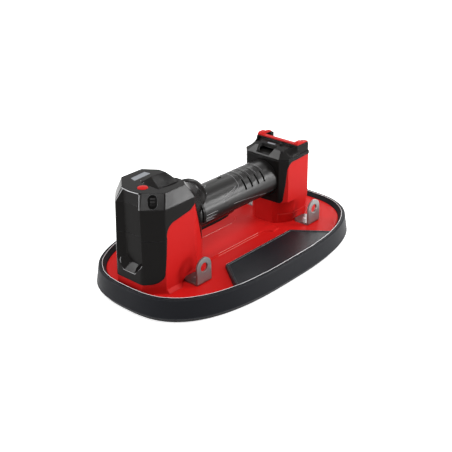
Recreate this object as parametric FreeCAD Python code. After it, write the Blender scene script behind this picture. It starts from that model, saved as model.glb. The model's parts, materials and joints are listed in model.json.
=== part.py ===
"""Cordless vacuum lifter with an oval suction base, a pump tower, a battery dock tower and a bar handle.

Millimetres. +Z is up and z = 0 is the face that the sealing foam rests on. +X runs from the pump tower
to the battery dock, and the origin is the centre of the oval base.
"""

import FreeCAD, Part
import math
import os

V = FreeCAD.Vector
X_AXIS = V(1, 0, 0)
Y_AXIS = V(0, 1, 0)
Z_AXIS = V(0, 0, 1)

# Base: a superellipse oval
OVAL_A = 148.0            # half length at the widest line of the skirt
OVAL_B = 88.1             # half width there
OVAL_POWER = 2.79         # 2 is an ellipse; more is squarer
OVAL_POINTS = 40          # points that each oval spline runs through
SKIRT_LOW_Z = 4.0         # the skirt's lower edge; the foam stands out below it
RIM_Z = 24.2              # the skirt's top lip
RIM_INSET = 2.85          # the lip's outer edge, in from the widest line
LIP_IN_INSET = 6.2        # the lip's inner edge
PLATE_INSET = 9.3         # the red plate's edge
PLATE_TOP = 19.7
PLATE_T = 4.0
PLATE_LOW = PLATE_TOP - PLATE_T
FOAM_OUT_INSET = 3.2
FOAM_IN_INSET = 25.0
FOAM_CEILING = 9.0
SEAT_INSET = 27.0         # the skirt's inner lip ends here
PLATEAU_H = 1.4           # raised middle strip of the plate
PLATEAU_HALF = 18.5
RIB_LOW = 10.5
SCREW_R = 1.7
SCREW_HEAD_R = 3.2
BOSS_R = 4.6
TOWER_BOSS_H = 6.0
FILTER_X = -90.0
FILTER_R = 17.0            # pocket for the filter in the underside
PORT_X = -96.0             # the pump's inlet
PORT_R = 4.0

# Side panels
PANEL_Z = 24.0
PANEL_IN_X = 50.1         # half length of the inner edge
PANEL_IN_Y = 40.4
PANEL_OUT_X = 85.2        # half length where it meets the rim
PANEL_BORDER = 3.4
PANEL_RECESS = 0.7

# Lifting brackets
BRACKET_X0 = 75.8
BRACKET_W = 19.2
BRACKET_Y = 46.1          # outer face of the upright
BRACKET_T = 2.0
BRACKET_H = 26.8
BRACKET_FOOT = 20.2
EYE_R = 4.7
EYE_H = 17.0              # eye centre above the plate

# Pump tower
WALL = 2.6
HOSE_BARBS = [(-81.5, -12.0, 1.2), (-81.5, 10.0, 2.95)]   # x, y and radius
BARB_WALL = 0.7
SENSOR_PORT = (-85.5, -3.0)   # x and y of the pressure sensor's nipple
PT_BAND_Z = 103.3         # where the cap starts
PT_TOP_Z = 117.3
PT_AXIS_X = -104.0        # motor axis
PT_SEAM_Z = 73.0
PT_FRONT = 135.5
PT_FRONT_LOW = 138.3
PT_REAR = 57.5             # rear wall, where the grip comes out
PT_REAR_HALF = 17.5
PT_CAP_REAR = 66.0         # the cap ends here; behind it the rear cover closes the top
PT_CAP_REAR_HALF = 22.85
PT_SHOULDER_Z = 97.0
PT_FLANK = 81.5            # where the sides turn in towards the rear wall
PT_FOOT = 1.5              # how far the red housing flares out at its foot
CHANNEL_FLOOR_X = -130.0
CHANNEL_LINING = 2.4

# Handle
GRIP_R = 19.7
GRIP_WALL = 3.0
GRIP_Z = 70.1
GRIP_X0 = -63.0            # inner end, inside the pump tower
GRIP_X1 = 58.5
GRIP_SEAM_Z = 62.0
GRIP_LOW_R = 25.0         # flatter underside of the grip behind the trigger
GRIP_LOW_Z = 53.2

# Release trigger and its valve
TRIG_X0 = -54.0
TRIG_X1 = -9.5
TRIG_HALF = 10.5
TRIG_LOW = 49.4
TRIG_TOP = 61.4
PIVOT_X = -50.5
PIVOT_Z = 60.4
PIVOT_R = 1.5
VALVE_X = -28.0
STEM_R = 1.8
STEM_LOW = 62.6
VALVE_SEAT_Z = 68.4
VALVE_TOP_Z = 83.0
RUN_FIT = 0.05            # radial running clearance
SIDE_GAP = 0.5            # clearance beside moving pieces

# Battery dock tower
DT_BAND_Z = 92.8
DT_DECK_Z = 101.2
DT_FRONT = 55.0
DT_BACK = 97.0
DT_SIDE = 28.9
DT_RAIL_Z = 104.6
DT_BAR_Z = 105.8
DOCK_X = 84.0             # floor of the battery channel
DOCK_HALF = 22.0
DOCK_LOW = 34.0

BUTTON_X = -119.4
BUTTON_Y = -4.4
BUTTON_R = 4.9
BUTTON_FLANGE_R = 6.2
BUTTON_TRAVEL = 1.6
SWITCH_Z = 101.5          # top of the switch under the button
BOARD_Z = 96.2
AIR_PORT_HALF_W = 4.2
AIR_PORT_HALF_H = 6.6
AIR_PORT_DEPTH = 2.4

# pump and motor, about a vertical axis
MOTOR_R = 15.5
MOTOR_Z0 = 49.0
MOTOR_Z1 = 88.0
SHAFT_R = 2.0
ECC_SHIFT = 1.2
ECC_R = 7.0
PUMP_HALF = 18.0
PUMP_HALF_X = 17.5
DIAPHRAGM_Z = 38.0
NOSE_Y = 8.6               # the diaphragm noses stop short of the cam


def polygon_wire(points):
    return Part.makePolygon([*points, points[0]])


def prism(points, direction):
    return Part.Face(polygon_wire(points)).extrude(direction)


def prism_z(points, z0, z1):
    return prism([V(x, y, z0) for x, y in points], V(0, 0, z1 - z0))


def prism_y(points, y0, y1):
    return prism([V(x, y0, z) for x, z in points], V(0, y1 - y0, 0))


def prism_x(points, x0, x1):
    return prism([V(x0, y, z) for y, z in points], V(x1 - x0, 0, 0))


def block(x0, x1, y0, y1, z0, z1):
    return Part.makeBox(x1 - x0, y1 - y0, z1 - z0, V(x0, y0, z0))


def rod_z(x, y, r, z0, z1):
    return Part.makeCylinder(r, z1 - z0, V(x, y, z0), Z_AXIS)


def rod_x(y, z, r, x0, x1):
    return Part.makeCylinder(r, x1 - x0, V(x0, y, z), X_AXIS)


def rod_y(x, z, r, y0, y1):
    return Part.makeCylinder(r, y1 - y0, V(x, y0, z), Y_AXIS)


def ring_z(x, y, r_out, r_in, z0, z1):
    return rod_z(x, y, r_out, z0, z1).cut(rod_z(x, y, r_in, z0 - 1, z1 + 1))


def loft(sections, ruled=True):
    return Part.makeLoft(sections, True, ruled)


def fuse(shapes):
    if len(shapes) == 1:
        return shapes[0]
    return shapes[0].multiFuse(shapes[1:]).removeSplitter()


def mirrored(shape, normal=Y_AXIS):
    return shape.mirror(V(0, 0, 0), normal)


def symmetric(points):
    """The outline through these points on the -Y side and their mirror images on the +Y side."""
    return [*points, *[(x, -y) for x, y in reversed(points) if abs(y) > 1e-9]]


def inset(points, distance):
    """A convex outline moved in by the distance, corner by corner."""
    count = len(points)
    area = sum(points[i][0] * points[(i + 1) % count][1] - points[(i + 1) % count][0] * points[i][1]
               for i in range(count))
    turn = 1.0 if area > 0 else -1.0
    lines = []
    for i in range(count):
        x0, y0 = points[i]
        x1, y1 = points[(i + 1) % count]
        length = math.hypot(x1 - x0, y1 - y0)
        nx = -turn * (y1 - y0) / length
        ny = turn * (x1 - x0) / length
        lines.append((nx, ny, nx * x0 + ny * y0 + distance))
    result = []
    for i in range(count):
        a0, b0, c0 = lines[i - 1]
        a1, b1, c1 = lines[i]
        det = a0 * b1 - a1 * b0
        result.append(((c0 * b1 - c1 * b0) / det, (a0 * c1 - a1 * c0) / det))
    return result


def edges_along(shape, direction, keep):
    """Straight edges that run mostly along the direction and whose middle passes the test."""
    found = []
    for edge in shape.Edges:
        run = edge.Vertexes[-1].Point.sub(edge.Vertexes[0].Point)
        if run.Length < 1e-6 or edge.Length > run.Length * 1.001:
            continue
        if abs(run.normalize().dot(direction)) < 0.88:
            continue
        if keep(edge.CenterOfMass):
            found.append(edge)
    return found


def export(shape, name):
    solids = shape.Solids
    body = solids[0] if len(solids) == 1 else Part.makeCompound(solids)
    body.exportStep(os.path.join("parts", name + ".step"))


# ---------------------------------------------------------------- base

def oval_wire(inwards, z):
    a = OVAL_A - inwards
    b = OVAL_B - inwards
    points = []
    for i in range(OVAL_POINTS):
        angle = 2 * math.pi * i / OVAL_POINTS
        c = math.cos(angle)
        s = math.sin(angle)
        x = a * math.copysign(abs(c) ** (2 / OVAL_POWER), c)
        y = b * math.copysign(abs(s) ** (2 / OVAL_POWER), s)
        points.append(V(x, y, z))
    curve = Part.BSplineCurve()
    curve.interpolate(Points=points, PeriodicFlag=True)
    return Part.Wire([curve.toShape()])


def oval_solid(*levels):
    """A solid through ovals given as (inset, z)."""
    return loft([oval_wire(inwards, z) for inwards, z in levels])


def rim_pocket():
    """The space inside the lip, above the plate."""
    return oval_solid((LIP_IN_INSET, RIM_Z), (PLATE_INSET, PLATE_TOP))


def seal_skirt():
    outer = oval_solid((0.9, SKIRT_LOW_Z), (0.0, SKIRT_LOW_Z + 1.6), (RIM_INSET - 0.4, RIM_Z - 1.2),
                       (RIM_INSET + 0.7, RIM_Z))
    over = oval_solid((LIP_IN_INSET - (PLATE_INSET - LIP_IN_INSET) / (RIM_Z - PLATE_TOP), RIM_Z + 1.0),
                      (PLATE_INSET, PLATE_TOP))
    seat = oval_solid((PLATE_INSET, PLATE_LOW), (PLATE_INSET, PLATE_TOP))
    middle = oval_solid((SEAT_INSET, 0.0), (SEAT_INSET, PLATE_LOW))
    groove = oval_solid((FOAM_OUT_INSET, 0.0), (FOAM_OUT_INSET, FOAM_CEILING)).cut(
        oval_solid((FOAM_IN_INSET, -1.0), (FOAM_IN_INSET, FOAM_CEILING + 1.0)))
    trim = oval_solid((FOAM_IN_INSET, 0.0), (FOAM_IN_INSET, 6.0))
    return outer.cut(over).cut(seat).cut(middle).cut(groove).cut(trim)


def foam_seal():
    ring = oval_solid((FOAM_OUT_INSET + 0.8, 0.0), (FOAM_OUT_INSET, 1.2), (FOAM_OUT_INSET, FOAM_CEILING))
    ring = ring.cut(oval_solid((FOAM_IN_INSET, -1.0), (FOAM_IN_INSET, FOAM_CEILING + 1.0)))
    groove = oval_solid((13.0, -1.0), (13.6, 1.6)).cut(oval_solid((15.8, -1.5), (15.2, 2.0)))
    return ring.cut(groove)


def plateau():
    """The raised strip between the towers, flaring into the foot of the dock tower."""
    half = PLATEAU_HALF
    start = -PT_REAR + PT_FOOT
    near = [V(start, -half, PLATE_TOP), V(24.0, -half, PLATE_TOP)]
    flare_mid = V(33.5, -half - 1.7, PLATE_TOP)
    flare_end = V(41.0, -half - 8.5, PLATE_TOP)
    wide_end = V(50.0, -half - 8.5, PLATE_TOP)
    edges = [Part.makeLine(near[0], near[1]), Part.Arc(near[1], flare_mid, flare_end).toShape(),
             Part.makeLine(flare_end, wide_end)]
    far = [mirrored(edge) for edge in edges]
    ends = [Part.makeLine(wide_end, V(50.0, half + 8.5, PLATE_TOP)),
            Part.makeLine(near[0], V(start, half, PLATE_TOP))]
    wire = Part.Wire(Part.__sortEdges__([*edges, *far, *ends]))
    return Part.Face(wire).extrude(V(0, 0, PLATEAU_H))


def screw_places():
    """Where screws come up through the plate: (x, y, into what)."""
    towers = [(-114.0, 20.0), (-79.5, 20.5), (68.0, 18.0), (90.0, 20.5)]
    places = [(x, y * side, "tower") for x, y in towers for side in (-1, 1)]
    foot_y = BRACKET_Y - 0.6 * BRACKET_FOOT
    middle = BRACKET_X0 + BRACKET_W / 2
    places += [(middle * end, foot_y * side, "bracket") for end in (-1, 1) for side in (-1, 1)]
    return places


def base_plate():
    plate = oval_solid((PLATE_INSET, PLATE_LOW), (PLATE_INSET, PLATE_TOP - 0.8), (PLATE_INSET + 0.8, PLATE_TOP))
    adds = [plateau()]
    inside = oval_solid((SEAT_INSET + 1.0, RIB_LOW), (SEAT_INSET + 1.0, PLATE_LOW))
    ribs = [block(-120, 120, y - 1.0, y + 1.0, RIB_LOW, PLATE_LOW) for y in (-40, -20, 0, 20, 40)]
    ribs += [block(x - 1.0, x + 1.0, -60, 60, RIB_LOW, PLATE_LOW) for x in (-60, -20, 20, 60, 100)]
    adds += [rib.common(inside) for rib in ribs]
    adds.append(rod_z(FILTER_X, 0, FILTER_R + 2.5, RIB_LOW, PLATE_LOW))
    for x, y, _ in screw_places():
        adds.append(rod_z(x, y, BOSS_R, RIB_LOW, PLATE_LOW))
    body = plate.multiFuse(adds)
    cuts = [rod_z(FILTER_X, 0, FILTER_R, RIB_LOW - 1, PLATE_LOW), rod_z(PORT_X, 0, PORT_R, 0, 40)]
    cuts += [rod_z(x, y, radius - BARB_WALL, 0, 40) for x, y, radius in HOSE_BARBS]
    for x, y, _ in screw_places():
        cuts.append(rod_z(x, y, SCREW_R, 0, PLATE_TOP + 5))
        cuts.append(rod_z(x, y, SCREW_HEAD_R, 0, RIB_LOW + 2.6))
    for cut in cuts:
        body = body.cut(cut)
    return body


def base_screws():
    screws = []
    for x, y, into in screw_places():
        reach = PLATE_TOP + (TOWER_BOSS_H - 0.5 if into == "tower" else BRACKET_T)
        shank = rod_z(x, y, SCREW_R, RIB_LOW + 2.4, reach)
        head = rod_z(x, y, SCREW_HEAD_R - 0.2, RIB_LOW + 0.2, RIB_LOW + 2.6)
        slot = rod_z(x, y, 1.3, RIB_LOW, RIB_LOW + 1.6)
        screws.append(shank.fuse(head).cut(slot))
    return Part.makeCompound(screws)


def side_panel():
    """The near side panel; the far one is its mirror image."""
    slope = (PANEL_OUT_X - PANEL_IN_X) / (OVAL_B - PANEL_IN_Y)
    far_y = OVAL_B + 4.0
    out_x = PANEL_IN_X + slope * (far_y - PANEL_IN_Y)
    outline = [(-PANEL_IN_X, -PANEL_IN_Y), (-out_x, -far_y), (out_x, -far_y), (PANEL_IN_X, -PANEL_IN_Y)]
    bevel = 1.3
    low = polygon_wire([V(x, y, PLATE_TOP) for x, y in outline])
    mid = polygon_wire([V(x, y, PANEL_Z - bevel) for x, y in inset(outline, 0.5)])
    top = polygon_wire([V(x, y, PANEL_Z) for x, y in inset(outline, bevel + 0.5)])
    body = rim_pocket().common(loft([low, mid, top]))
    field = prism_z(inset(outline, PANEL_BORDER), PANEL_Z - PANEL_RECESS, PANEL_Z + 1)
    field = field.common(oval_solid((LIP_IN_INSET + 1.0, 0), (LIP_IN_INSET + 1.0, 40)))
    return body.cut(field)


def bracket():
    """One lifting bracket on the near side at +X."""
    x0 = BRACKET_X0
    x1 = x0 + BRACKET_W
    mid = (x0 + x1) / 2
    top = PLATE_TOP + BRACKET_H
    round_z = top - BRACKET_W / 2
    y = -BRACKET_Y
    outline = [Part.makeLine(V(x0, y, PLATE_TOP), V(x1, y, PLATE_TOP)),
               Part.makeLine(V(x1, y, PLATE_TOP), V(x1, y, round_z)),
               Part.Arc(V(x1, y, round_z), V(mid, y, top), V(x0, y, round_z)).toShape(),
               Part.makeLine(V(x0, y, round_z), V(x0, y, PLATE_TOP))]
    upright = Part.Face(Part.Wire(outline)).extrude(V(0, BRACKET_T, 0))
    foot = block(x0, x1, y, y + BRACKET_FOOT, PLATE_TOP, PLATE_TOP + BRACKET_T)
    foot = foot.makeFillet(4.0, edges_along(foot, Z_AXIS, lambda c: c.y > y + 5))
    body = upright.fuse(foot).removeSplitter()
    bend = [edge for edge in edges_along(body, X_AXIS, lambda c: c.y < y + 0.1 and c.z < PLATE_TOP + 0.1)]
    body = body.makeFillet(BRACKET_T * 0.9, bend)
    body = body.cut(rod_y(mid, PLATE_TOP + EYE_H, EYE_R, y - 1, y + BRACKET_T + 1))
    return body.cut(rod_z(mid, y + 0.6 * BRACKET_FOOT, SCREW_R, 0, 40))


def brackets():
    near = bracket()
    near_left = mirrored(near, X_AXIS)
    return {"bracket_near_front": near_left, "bracket_near_rear": near,
            "bracket_far_front": mirrored(near_left), "bracket_far_rear": mirrored(near)}


def filter_cap():
    cap = rod_z(FILTER_X, 0, FILTER_R + 2.0, RIB_LOW - 1.5, RIB_LOW)
    edge = [e for e in cap.Edges if abs(e.CenterOfMass.z - (RIB_LOW - 1.5)) < 0.01 and e.Length > 50]
    cap = cap.makeChamfer(0.7, edge[:1])
    cap = cap.fuse(rod_z(FILTER_X, 0, FILTER_R - 0.1, RIB_LOW, RIB_LOW + 0.5))
    for ring, count in ((4.5, 5), (9.0, 10), (13.5, 15)):
        for i in range(count):
            angle = 2 * math.pi * i / count
            x = FILTER_X + ring * math.cos(angle)
            cap = cap.cut(rod_z(x, ring * math.sin(angle), 1.5, 0, 30))
    return cap


def filter_disc():
    return rod_z(FILTER_X, 0, FILTER_R - 0.1, RIB_LOW + 0.5, PLATE_LOW - 0.8)


# ---------------------------------------------------------------- pump tower

def tower_loft(low, low_z, high, high_z):
    return loft([polygon_wire([V(x, y, low_z) for x, y in low]), polygon_wire([V(x, y, high_z) for x, y in high])])


def pump_outline(front, side, rear, shrink=0.0):
    half = 16.3 * side / 32.6
    points = symmetric([(-front, -half), (-front + 15.3, -side), (-PT_FLANK, -side), (-rear, -PT_REAR_HALF)])
    return inset(points, shrink) if shrink else points


def pump_envelope(shrink=0.0, z0=PLATE_TOP, z1=PT_BAND_Z):
    low = pump_outline(PT_FRONT_LOW, 33.8, PT_REAR, shrink)
    high = pump_outline(PT_FRONT, 32.6, PT_REAR, shrink)
    whole = tower_loft(low, PLATE_TOP, high, PT_BAND_Z)
    return whole.common(block(-200, 0, -60, 60, z0, z1))


def rounded_pump_envelope():
    body = pump_envelope()
    body = body.makeFillet(7.0, edges_along(body, Z_AXIS, lambda c: c.x < -128))
    body = body.makeFillet(2.2, edges_along(body, Z_AXIS, lambda c: -128 < c.x < -100 or c.x > -70))
    return body.makeFillet(5.0, edges_along(body, Z_AXIS, lambda c: -100 < c.x < -70))


def channel(grow=0.0):
    """The trapezoid channel down the front, with its faceted lower end."""
    def section(x, half_top, low_top, half_low, low):
        points = [(-half_top, 130), (-half_top, low_top), (-half_low, low), (half_low, low),
                  (half_top, low_top), (half_top, 130)]
        return polygon_wire([V(x, y, z) for y, z in points])
    run = -145.0 - CHANNEL_FLOOR_X
    k = run / (-PT_FRONT - CHANNEL_FLOOR_X)
    front = section(-145.0, 10.4 + (15.7 - 10.4) * k + grow, 47.5 - 1.1 * k - grow,
                    4.8 + 1.2 * k + grow, 43.5 - 4.2 * k - grow)
    back = section(CHANNEL_FLOOR_X + grow, 10.4 + grow * 0.6, 47.5 - grow * 0.4, 4.8 + grow * 0.4, 43.5 - grow)
    return loft([front, back])


def black_region():
    """Side view of what the black covers take; the rest of the pump tower is the red housing."""
    top = [V(-60, 0, 99.0), V(-79.0, 0, 98.6), V(-88.0, 0, 92.4), V(-108.0, 0, 88.9)]
    knee = V(-115.6, 0, 85.6)
    side = [V(-119.0, 0, 75.0), V(-121.7, 0, 49.3), V(-122.8, 0, 42.0)]
    toe = V(-125.6, 0, 33.6)
    low = [V(-132.0, 0, 29.4), V(-150, 0, 28.4), V(-150, 0, 130), V(-60, 0, 130)]
    edges = [Part.makeLine(a, b) for a, b in zip(top, top[1:])]
    edges.append(Part.Arc(top[-1], knee, side[0]).toShape())
    edges += [Part.makeLine(a, b) for a, b in zip(side, side[1:])]
    edges.append(Part.Arc(side[-1], toe, low[0]).toShape())
    edges += [Part.makeLine(a, b) for a, b in zip(low, low[1:])]
    edges.append(Part.makeLine(low[-1], top[0]))
    face = Part.Face(Part.Wire(edges))
    face.translate(V(0, -60, 0))
    return face.extrude(V(0, 120, 0))


def rear_region():
    """Side view of the black rear cover, whose lower edges run down to a point on each rear corner."""
    points = [(-PT_FLANK + 1.0, 97.0), (-PT_REAR, 46.0), (-40, 46.0), (-40, 130), (-PT_FLANK + 1.0, 130)]
    return prism_y(points, -60, 60)


def bracket_recess(grow=0.0):
    """An arched scoop low in both flanks that leaves room for the lifting brackets' feet."""
    wall_y = BRACKET_Y - BRACKET_FOOT - 0.4 - grow
    middle = -BRACKET_X0 - BRACKET_W / 2
    half = BRACKET_W / 2 + 10.5 + grow
    start = V(middle - half, 0, PLATE_TOP - 1)
    crown = V(middle, 0, 31.0 + grow)
    end = V(middle + half, 0, PLATE_TOP - 1)
    face = Part.Face(Part.Wire([Part.Arc(start, crown, end).toShape(), Part.makeLine(end, start)]))
    face.translate(V(0, -60, 0))
    near = face.extrude(V(0, 60 - wall_y, 0))
    return near.fuse(mirrored(near))


def tower_parts():
    """Housing, front covers and rear cover of the pump tower, cut from one walled envelope."""
    outer = rounded_pump_envelope()
    cavity = pump_envelope(WALL, PLATE_TOP + 2.2, PT_BAND_Z).cut(bracket_recess(WALL))
    lining = channel(CHANNEL_LINING).common(outer)
    walls = outer.cut(cavity).fuse(lining)
    walls = walls.cut(channel())
    region = black_region()
    behind = rear_region()
    rear = walls.common(behind)
    walls = walls.cut(behind)
    black = walls.common(region)
    red_envelope = pump_envelope(0.5)
    red = walls.cut(region).common(red_envelope)
    foot = tower_loft(pump_outline(PT_FRONT_LOW - 1.8, 36.0, PT_REAR - PT_FOOT), PLATE_TOP,
                      pump_outline(PT_FRONT_LOW - 1.2, 33.0, PT_REAR + 0.5), PLATE_TOP + 4.2)
    foot = foot.cut(pump_envelope(WALL, PLATE_TOP + 2.2, 60))
    red = red.fuse(foot).cut(bracket_recess())
    port = rod_z(PORT_X, 0, PORT_R + 2.5, 0, 40)
    red = red.cut(port)
    for x, y, into in screw_places():
        if into == "tower" and x < 0:
            red = red.fuse(rod_z(x, y, BOSS_R - 0.8, PLATE_TOP, PLATE_TOP + TOWER_BOSS_H))
    for x, y, into in screw_places():
        if into == "tower" and x < 0:
            red = red.cut(rod_z(x, y, SCREW_R, 0, PLATE_TOP + TOWER_BOSS_H - 0.5))
    red = red.cut(rod_x(0, GRIP_Z, GRIP_R, GRIP_X0, 10))
    for x, y, radius in HOSE_BARBS:
        barb = rod_z(x, y, radius, PLATE_TOP + 2.2, PLATE_TOP + 7.0)
        red = red.fuse(barb).cut(rod_z(x, y, radius - BARB_WALL, 0, 40))
    lower = black.common(block(-200, 0, -60, 60, 0, PT_SEAM_Z - 0.15))
    upper = black.common(block(-200, 0, -60, 60, PT_SEAM_Z + 0.15, 200))
    for side in (-1, 1):
        y0, y1 = (25.0, 31.0) if side > 0 else (-31.0, -25.0)
        ledge = block(-116.0, -93.0, y0, y1, BOARD_Z - 2.6, BOARD_Z)
        upper = upper.fuse(ledge.common(pump_envelope(0.6)))
    return red, lower, upper, rear


def cap_outline(front_x, half, corner_x, side, flank_x, rear_x, rear_half):
    return symmetric([(front_x, -half), (corner_x, -side), (flank_x, -side), (rear_x, -rear_half)])


def cap_envelope(shrink=0.0):
    low = cap_outline(-PT_FRONT, 16.3, -PT_FRONT + 15.3, 32.6, -PT_FLANK, -PT_CAP_REAR, PT_CAP_REAR_HALF)
    high = cap_outline(-129.3, 12.6, -115.2, 28.6, -89.5, -80.0, 15.0)
    return tower_loft(inset(low, shrink) if shrink else low, PT_BAND_Z,
                      inset(high, shrink) if shrink else high, PT_TOP_Z - shrink)


def thumb_scoop():
    top = [(-113.5, -18.5), (-113.5, 5.5), (-97.0, 8.0), (-70.0, 5.5), (-70.0, -24.0), (-95.0, -21.0)]
    low = [(-103.0, -12.5), (-103.0, -2.0), (-95.0, 0.0), (-60.0, 0.0), (-60.0, -16.0), (-92.0, -14.5)]
    lid = [V(x, y, PT_TOP_Z + 0.01) for x, y in top]
    above = [V(x, y, PT_TOP_Z + 4) for x, y in top]
    return loft([polygon_wire([V(x, y, 106.5) for x, y in low]), polygon_wire(lid)]).fuse(
        loft([polygon_wire(lid), polygon_wire(above)]))


def pump_cap():
    body = cap_envelope()
    body = body.makeFillet(1.6, edges_along(body, Z_AXIS, lambda c: c.x < -100))
    hollow = cap_envelope(WALL)
    shelf = thumb_scoop()
    shell_under = loft([polygon_wire([V(x, y, 101.0) for x, y in
                                      [(-110, -21), (-110, 6), (-97, 10), (-60, 8), (-60, -26), (-95, -24)]]),
                        polygon_wire([V(x, y, 119.0) for x, y in
                                      [(-118, -23), (-118, 10), (-97, 12), (-60, 10), (-60, -30), (-95, -26)]])])
    body = body.cut(hollow.cut(shell_under).cut(channel(CHANNEL_LINING)))
    body = body.cut(shelf).cut(channel())
    body = body.cut(rod_z(BUTTON_X, BUTTON_Y, BUTTON_R + SIDE_GAP, 112, 120))
    body = body.cut(rod_z(BUTTON_X, BUTTON_Y, BUTTON_FLANGE_R + SIDE_GAP, 100, 113.3))
    body = body.cut(oval_on_corner(AIR_PORT_HALF_W, AIR_PORT_HALF_H, -AIR_PORT_DEPTH, 3.0))
    return body.cut(display_space())


def display_space(shrink=0.0):
    return prism_z(inset([(-113.5, 12.6), (-91.5, 14.0), (-92.5, 21.5), (-111.5, 20.0)], shrink), PT_TOP_Z - 3.0, 120)


def display_window():
    return display_space(0.0).common(block(-200, 0, -60, 60, 0, PT_TOP_Z - 0.15))


def power_button():
    dome = Part.makeSphere(16.0, V(BUTTON_X, BUTTON_Y, PT_TOP_Z + 0.9 - 16.0))
    top = rod_z(BUTTON_X, BUTTON_Y, BUTTON_R, 112.6, 119.0).common(dome)
    flange = rod_z(BUTTON_X, BUTTON_Y, BUTTON_FLANGE_R, 111.2, 112.6)
    stem = rod_z(BUTTON_X, BUTTON_Y, 1.4, SWITCH_Z + 0.9 + BUTTON_TRAVEL + 0.4, 111.3)
    return fuse([top, flange, stem])


def corner_placement():
    """Origin at the middle of the cap's near front corner facet, X across it, Y up it and Z out of it."""
    low = (V(-PT_FRONT, -16.3, PT_BAND_Z), V(-PT_FRONT + 15.3, -32.6, PT_BAND_Z))
    high = (V(-129.3, -12.6, PT_TOP_Z), V(-115.2, -28.6, PT_TOP_Z))
    centre = (low[0] + low[1] + high[0] + high[1]) * 0.25
    across = (low[1] - low[0]).normalize()
    up = ((high[0] + high[1]) * 0.5 - (low[0] + low[1]) * 0.5).normalize()
    out = across.cross(up).normalize()
    return FreeCAD.Placement(centre, FreeCAD.Rotation(across, up, out, "ZXY"))


def oval_on_corner(half_w, half_h, depth0, depth1):
    """An upright oval standing square to the cap's near front corner facet."""
    flat = half_h - half_w
    oval = fuse([Part.makeCylinder(half_w, depth1 - depth0, V(0, -flat, depth0)),
                 Part.makeCylinder(half_w, depth1 - depth0, V(0, flat, depth0)),
                 block(-half_w, half_w, -flat, flat, depth0, depth1)])
    oval.Placement = corner_placement()
    return oval


def exhaust_port():
    """Oval air outlet in the cap, with a raised edge and three slots in its sunk floor."""
    body = oval_on_corner(AIR_PORT_HALF_W, AIR_PORT_HALF_H, -AIR_PORT_DEPTH, 0.25)
    body = body.cut(oval_on_corner(AIR_PORT_HALF_W - 0.5, AIR_PORT_HALF_H - 0.5, 0.6 - AIR_PORT_DEPTH, 1.0))
    for height in (-2.8, 0.0, 2.8):
        slot = block(-2.4, 2.4, height - 0.7, height + 0.7, -4.0, 0.0)
        slot.Placement = corner_placement()
        body = body.cut(slot)
    return body


# ---------------------------------------------------------------- handle

def rear_shoulder():
    """Sloped top of the rear cover, between the cap and the hump."""
    low = symmetric([(-PT_CAP_REAR, -PT_CAP_REAR_HALF), (-PT_REAR, -PT_REAR_HALF)])
    high = symmetric([(-PT_CAP_REAR, -PT_CAP_REAR_HALF + 2.0), (-PT_REAR - 2.5, -PT_REAR_HALF + 5.0)])
    body = tower_loft(low, PT_SHOULDER_Z, high, PT_BAND_Z)
    return body.cut(pump_envelope(WALL + 1.0, PT_SHOULDER_Z - 1, PT_BAND_Z - WALL))


def rear_cover(rear_walls):
    """Black rear cover of the pump tower, with the hump that runs out over the grip and a lip round it."""
    top = block(-PT_CAP_REAR, -40, -40, 40, PT_SHOULDER_Z, PT_BAND_Z + 1)
    rear_walls = rear_walls.cut(top).fuse(rear_shoulder())
    hump = Part.makeSphere(1.0)
    matrix = FreeCAD.Matrix()
    matrix.scale(V(23.0, 17.0, 22.3))
    hump = hump.transformGeometry(matrix)
    hump.translate(V(-60.0, 0, 82.0))
    slant = prism_y([(-72.0, 60), (-58.0, 66.0), (-30.0, 100.0), (-30, 130), (-72, 130)], -40, 40)
    hump = hump.common(slant)
    lip = ring_x(-PT_REAR + 1.4, 2.8, GRIP_R).common(rod_x(0, GRIP_Z, GRIP_R + 1.3, -80, -40))
    lip = lip.common(block(-80, -40, -40, 40, GRIP_SEAM_Z + 2.0, 120))
    inside = pump_envelope().cut(top)
    outside = hump.fuse(lip).cut(inside).cut(cap_envelope()).cut(pump_envelope(WALL, 50, PT_BAND_Z - WALL))
    body = rear_walls.fuse(outside)
    return body.cut(rod_x(0, GRIP_Z, GRIP_R, GRIP_X0, 10))


def grip_solid():
    tube = rod_x(0, GRIP_Z, GRIP_R, GRIP_X0, GRIP_X1)
    flat = rod_x(0, GRIP_LOW_Z + GRIP_LOW_R, GRIP_LOW_R, TRIG_X1 + 1.0, GRIP_X1 + 1)
    keep = block(GRIP_X0 - 1, TRIG_X1 + 1.0, -30, 30, 40, 100).fuse(flat)
    return tube.common(keep)


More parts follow.
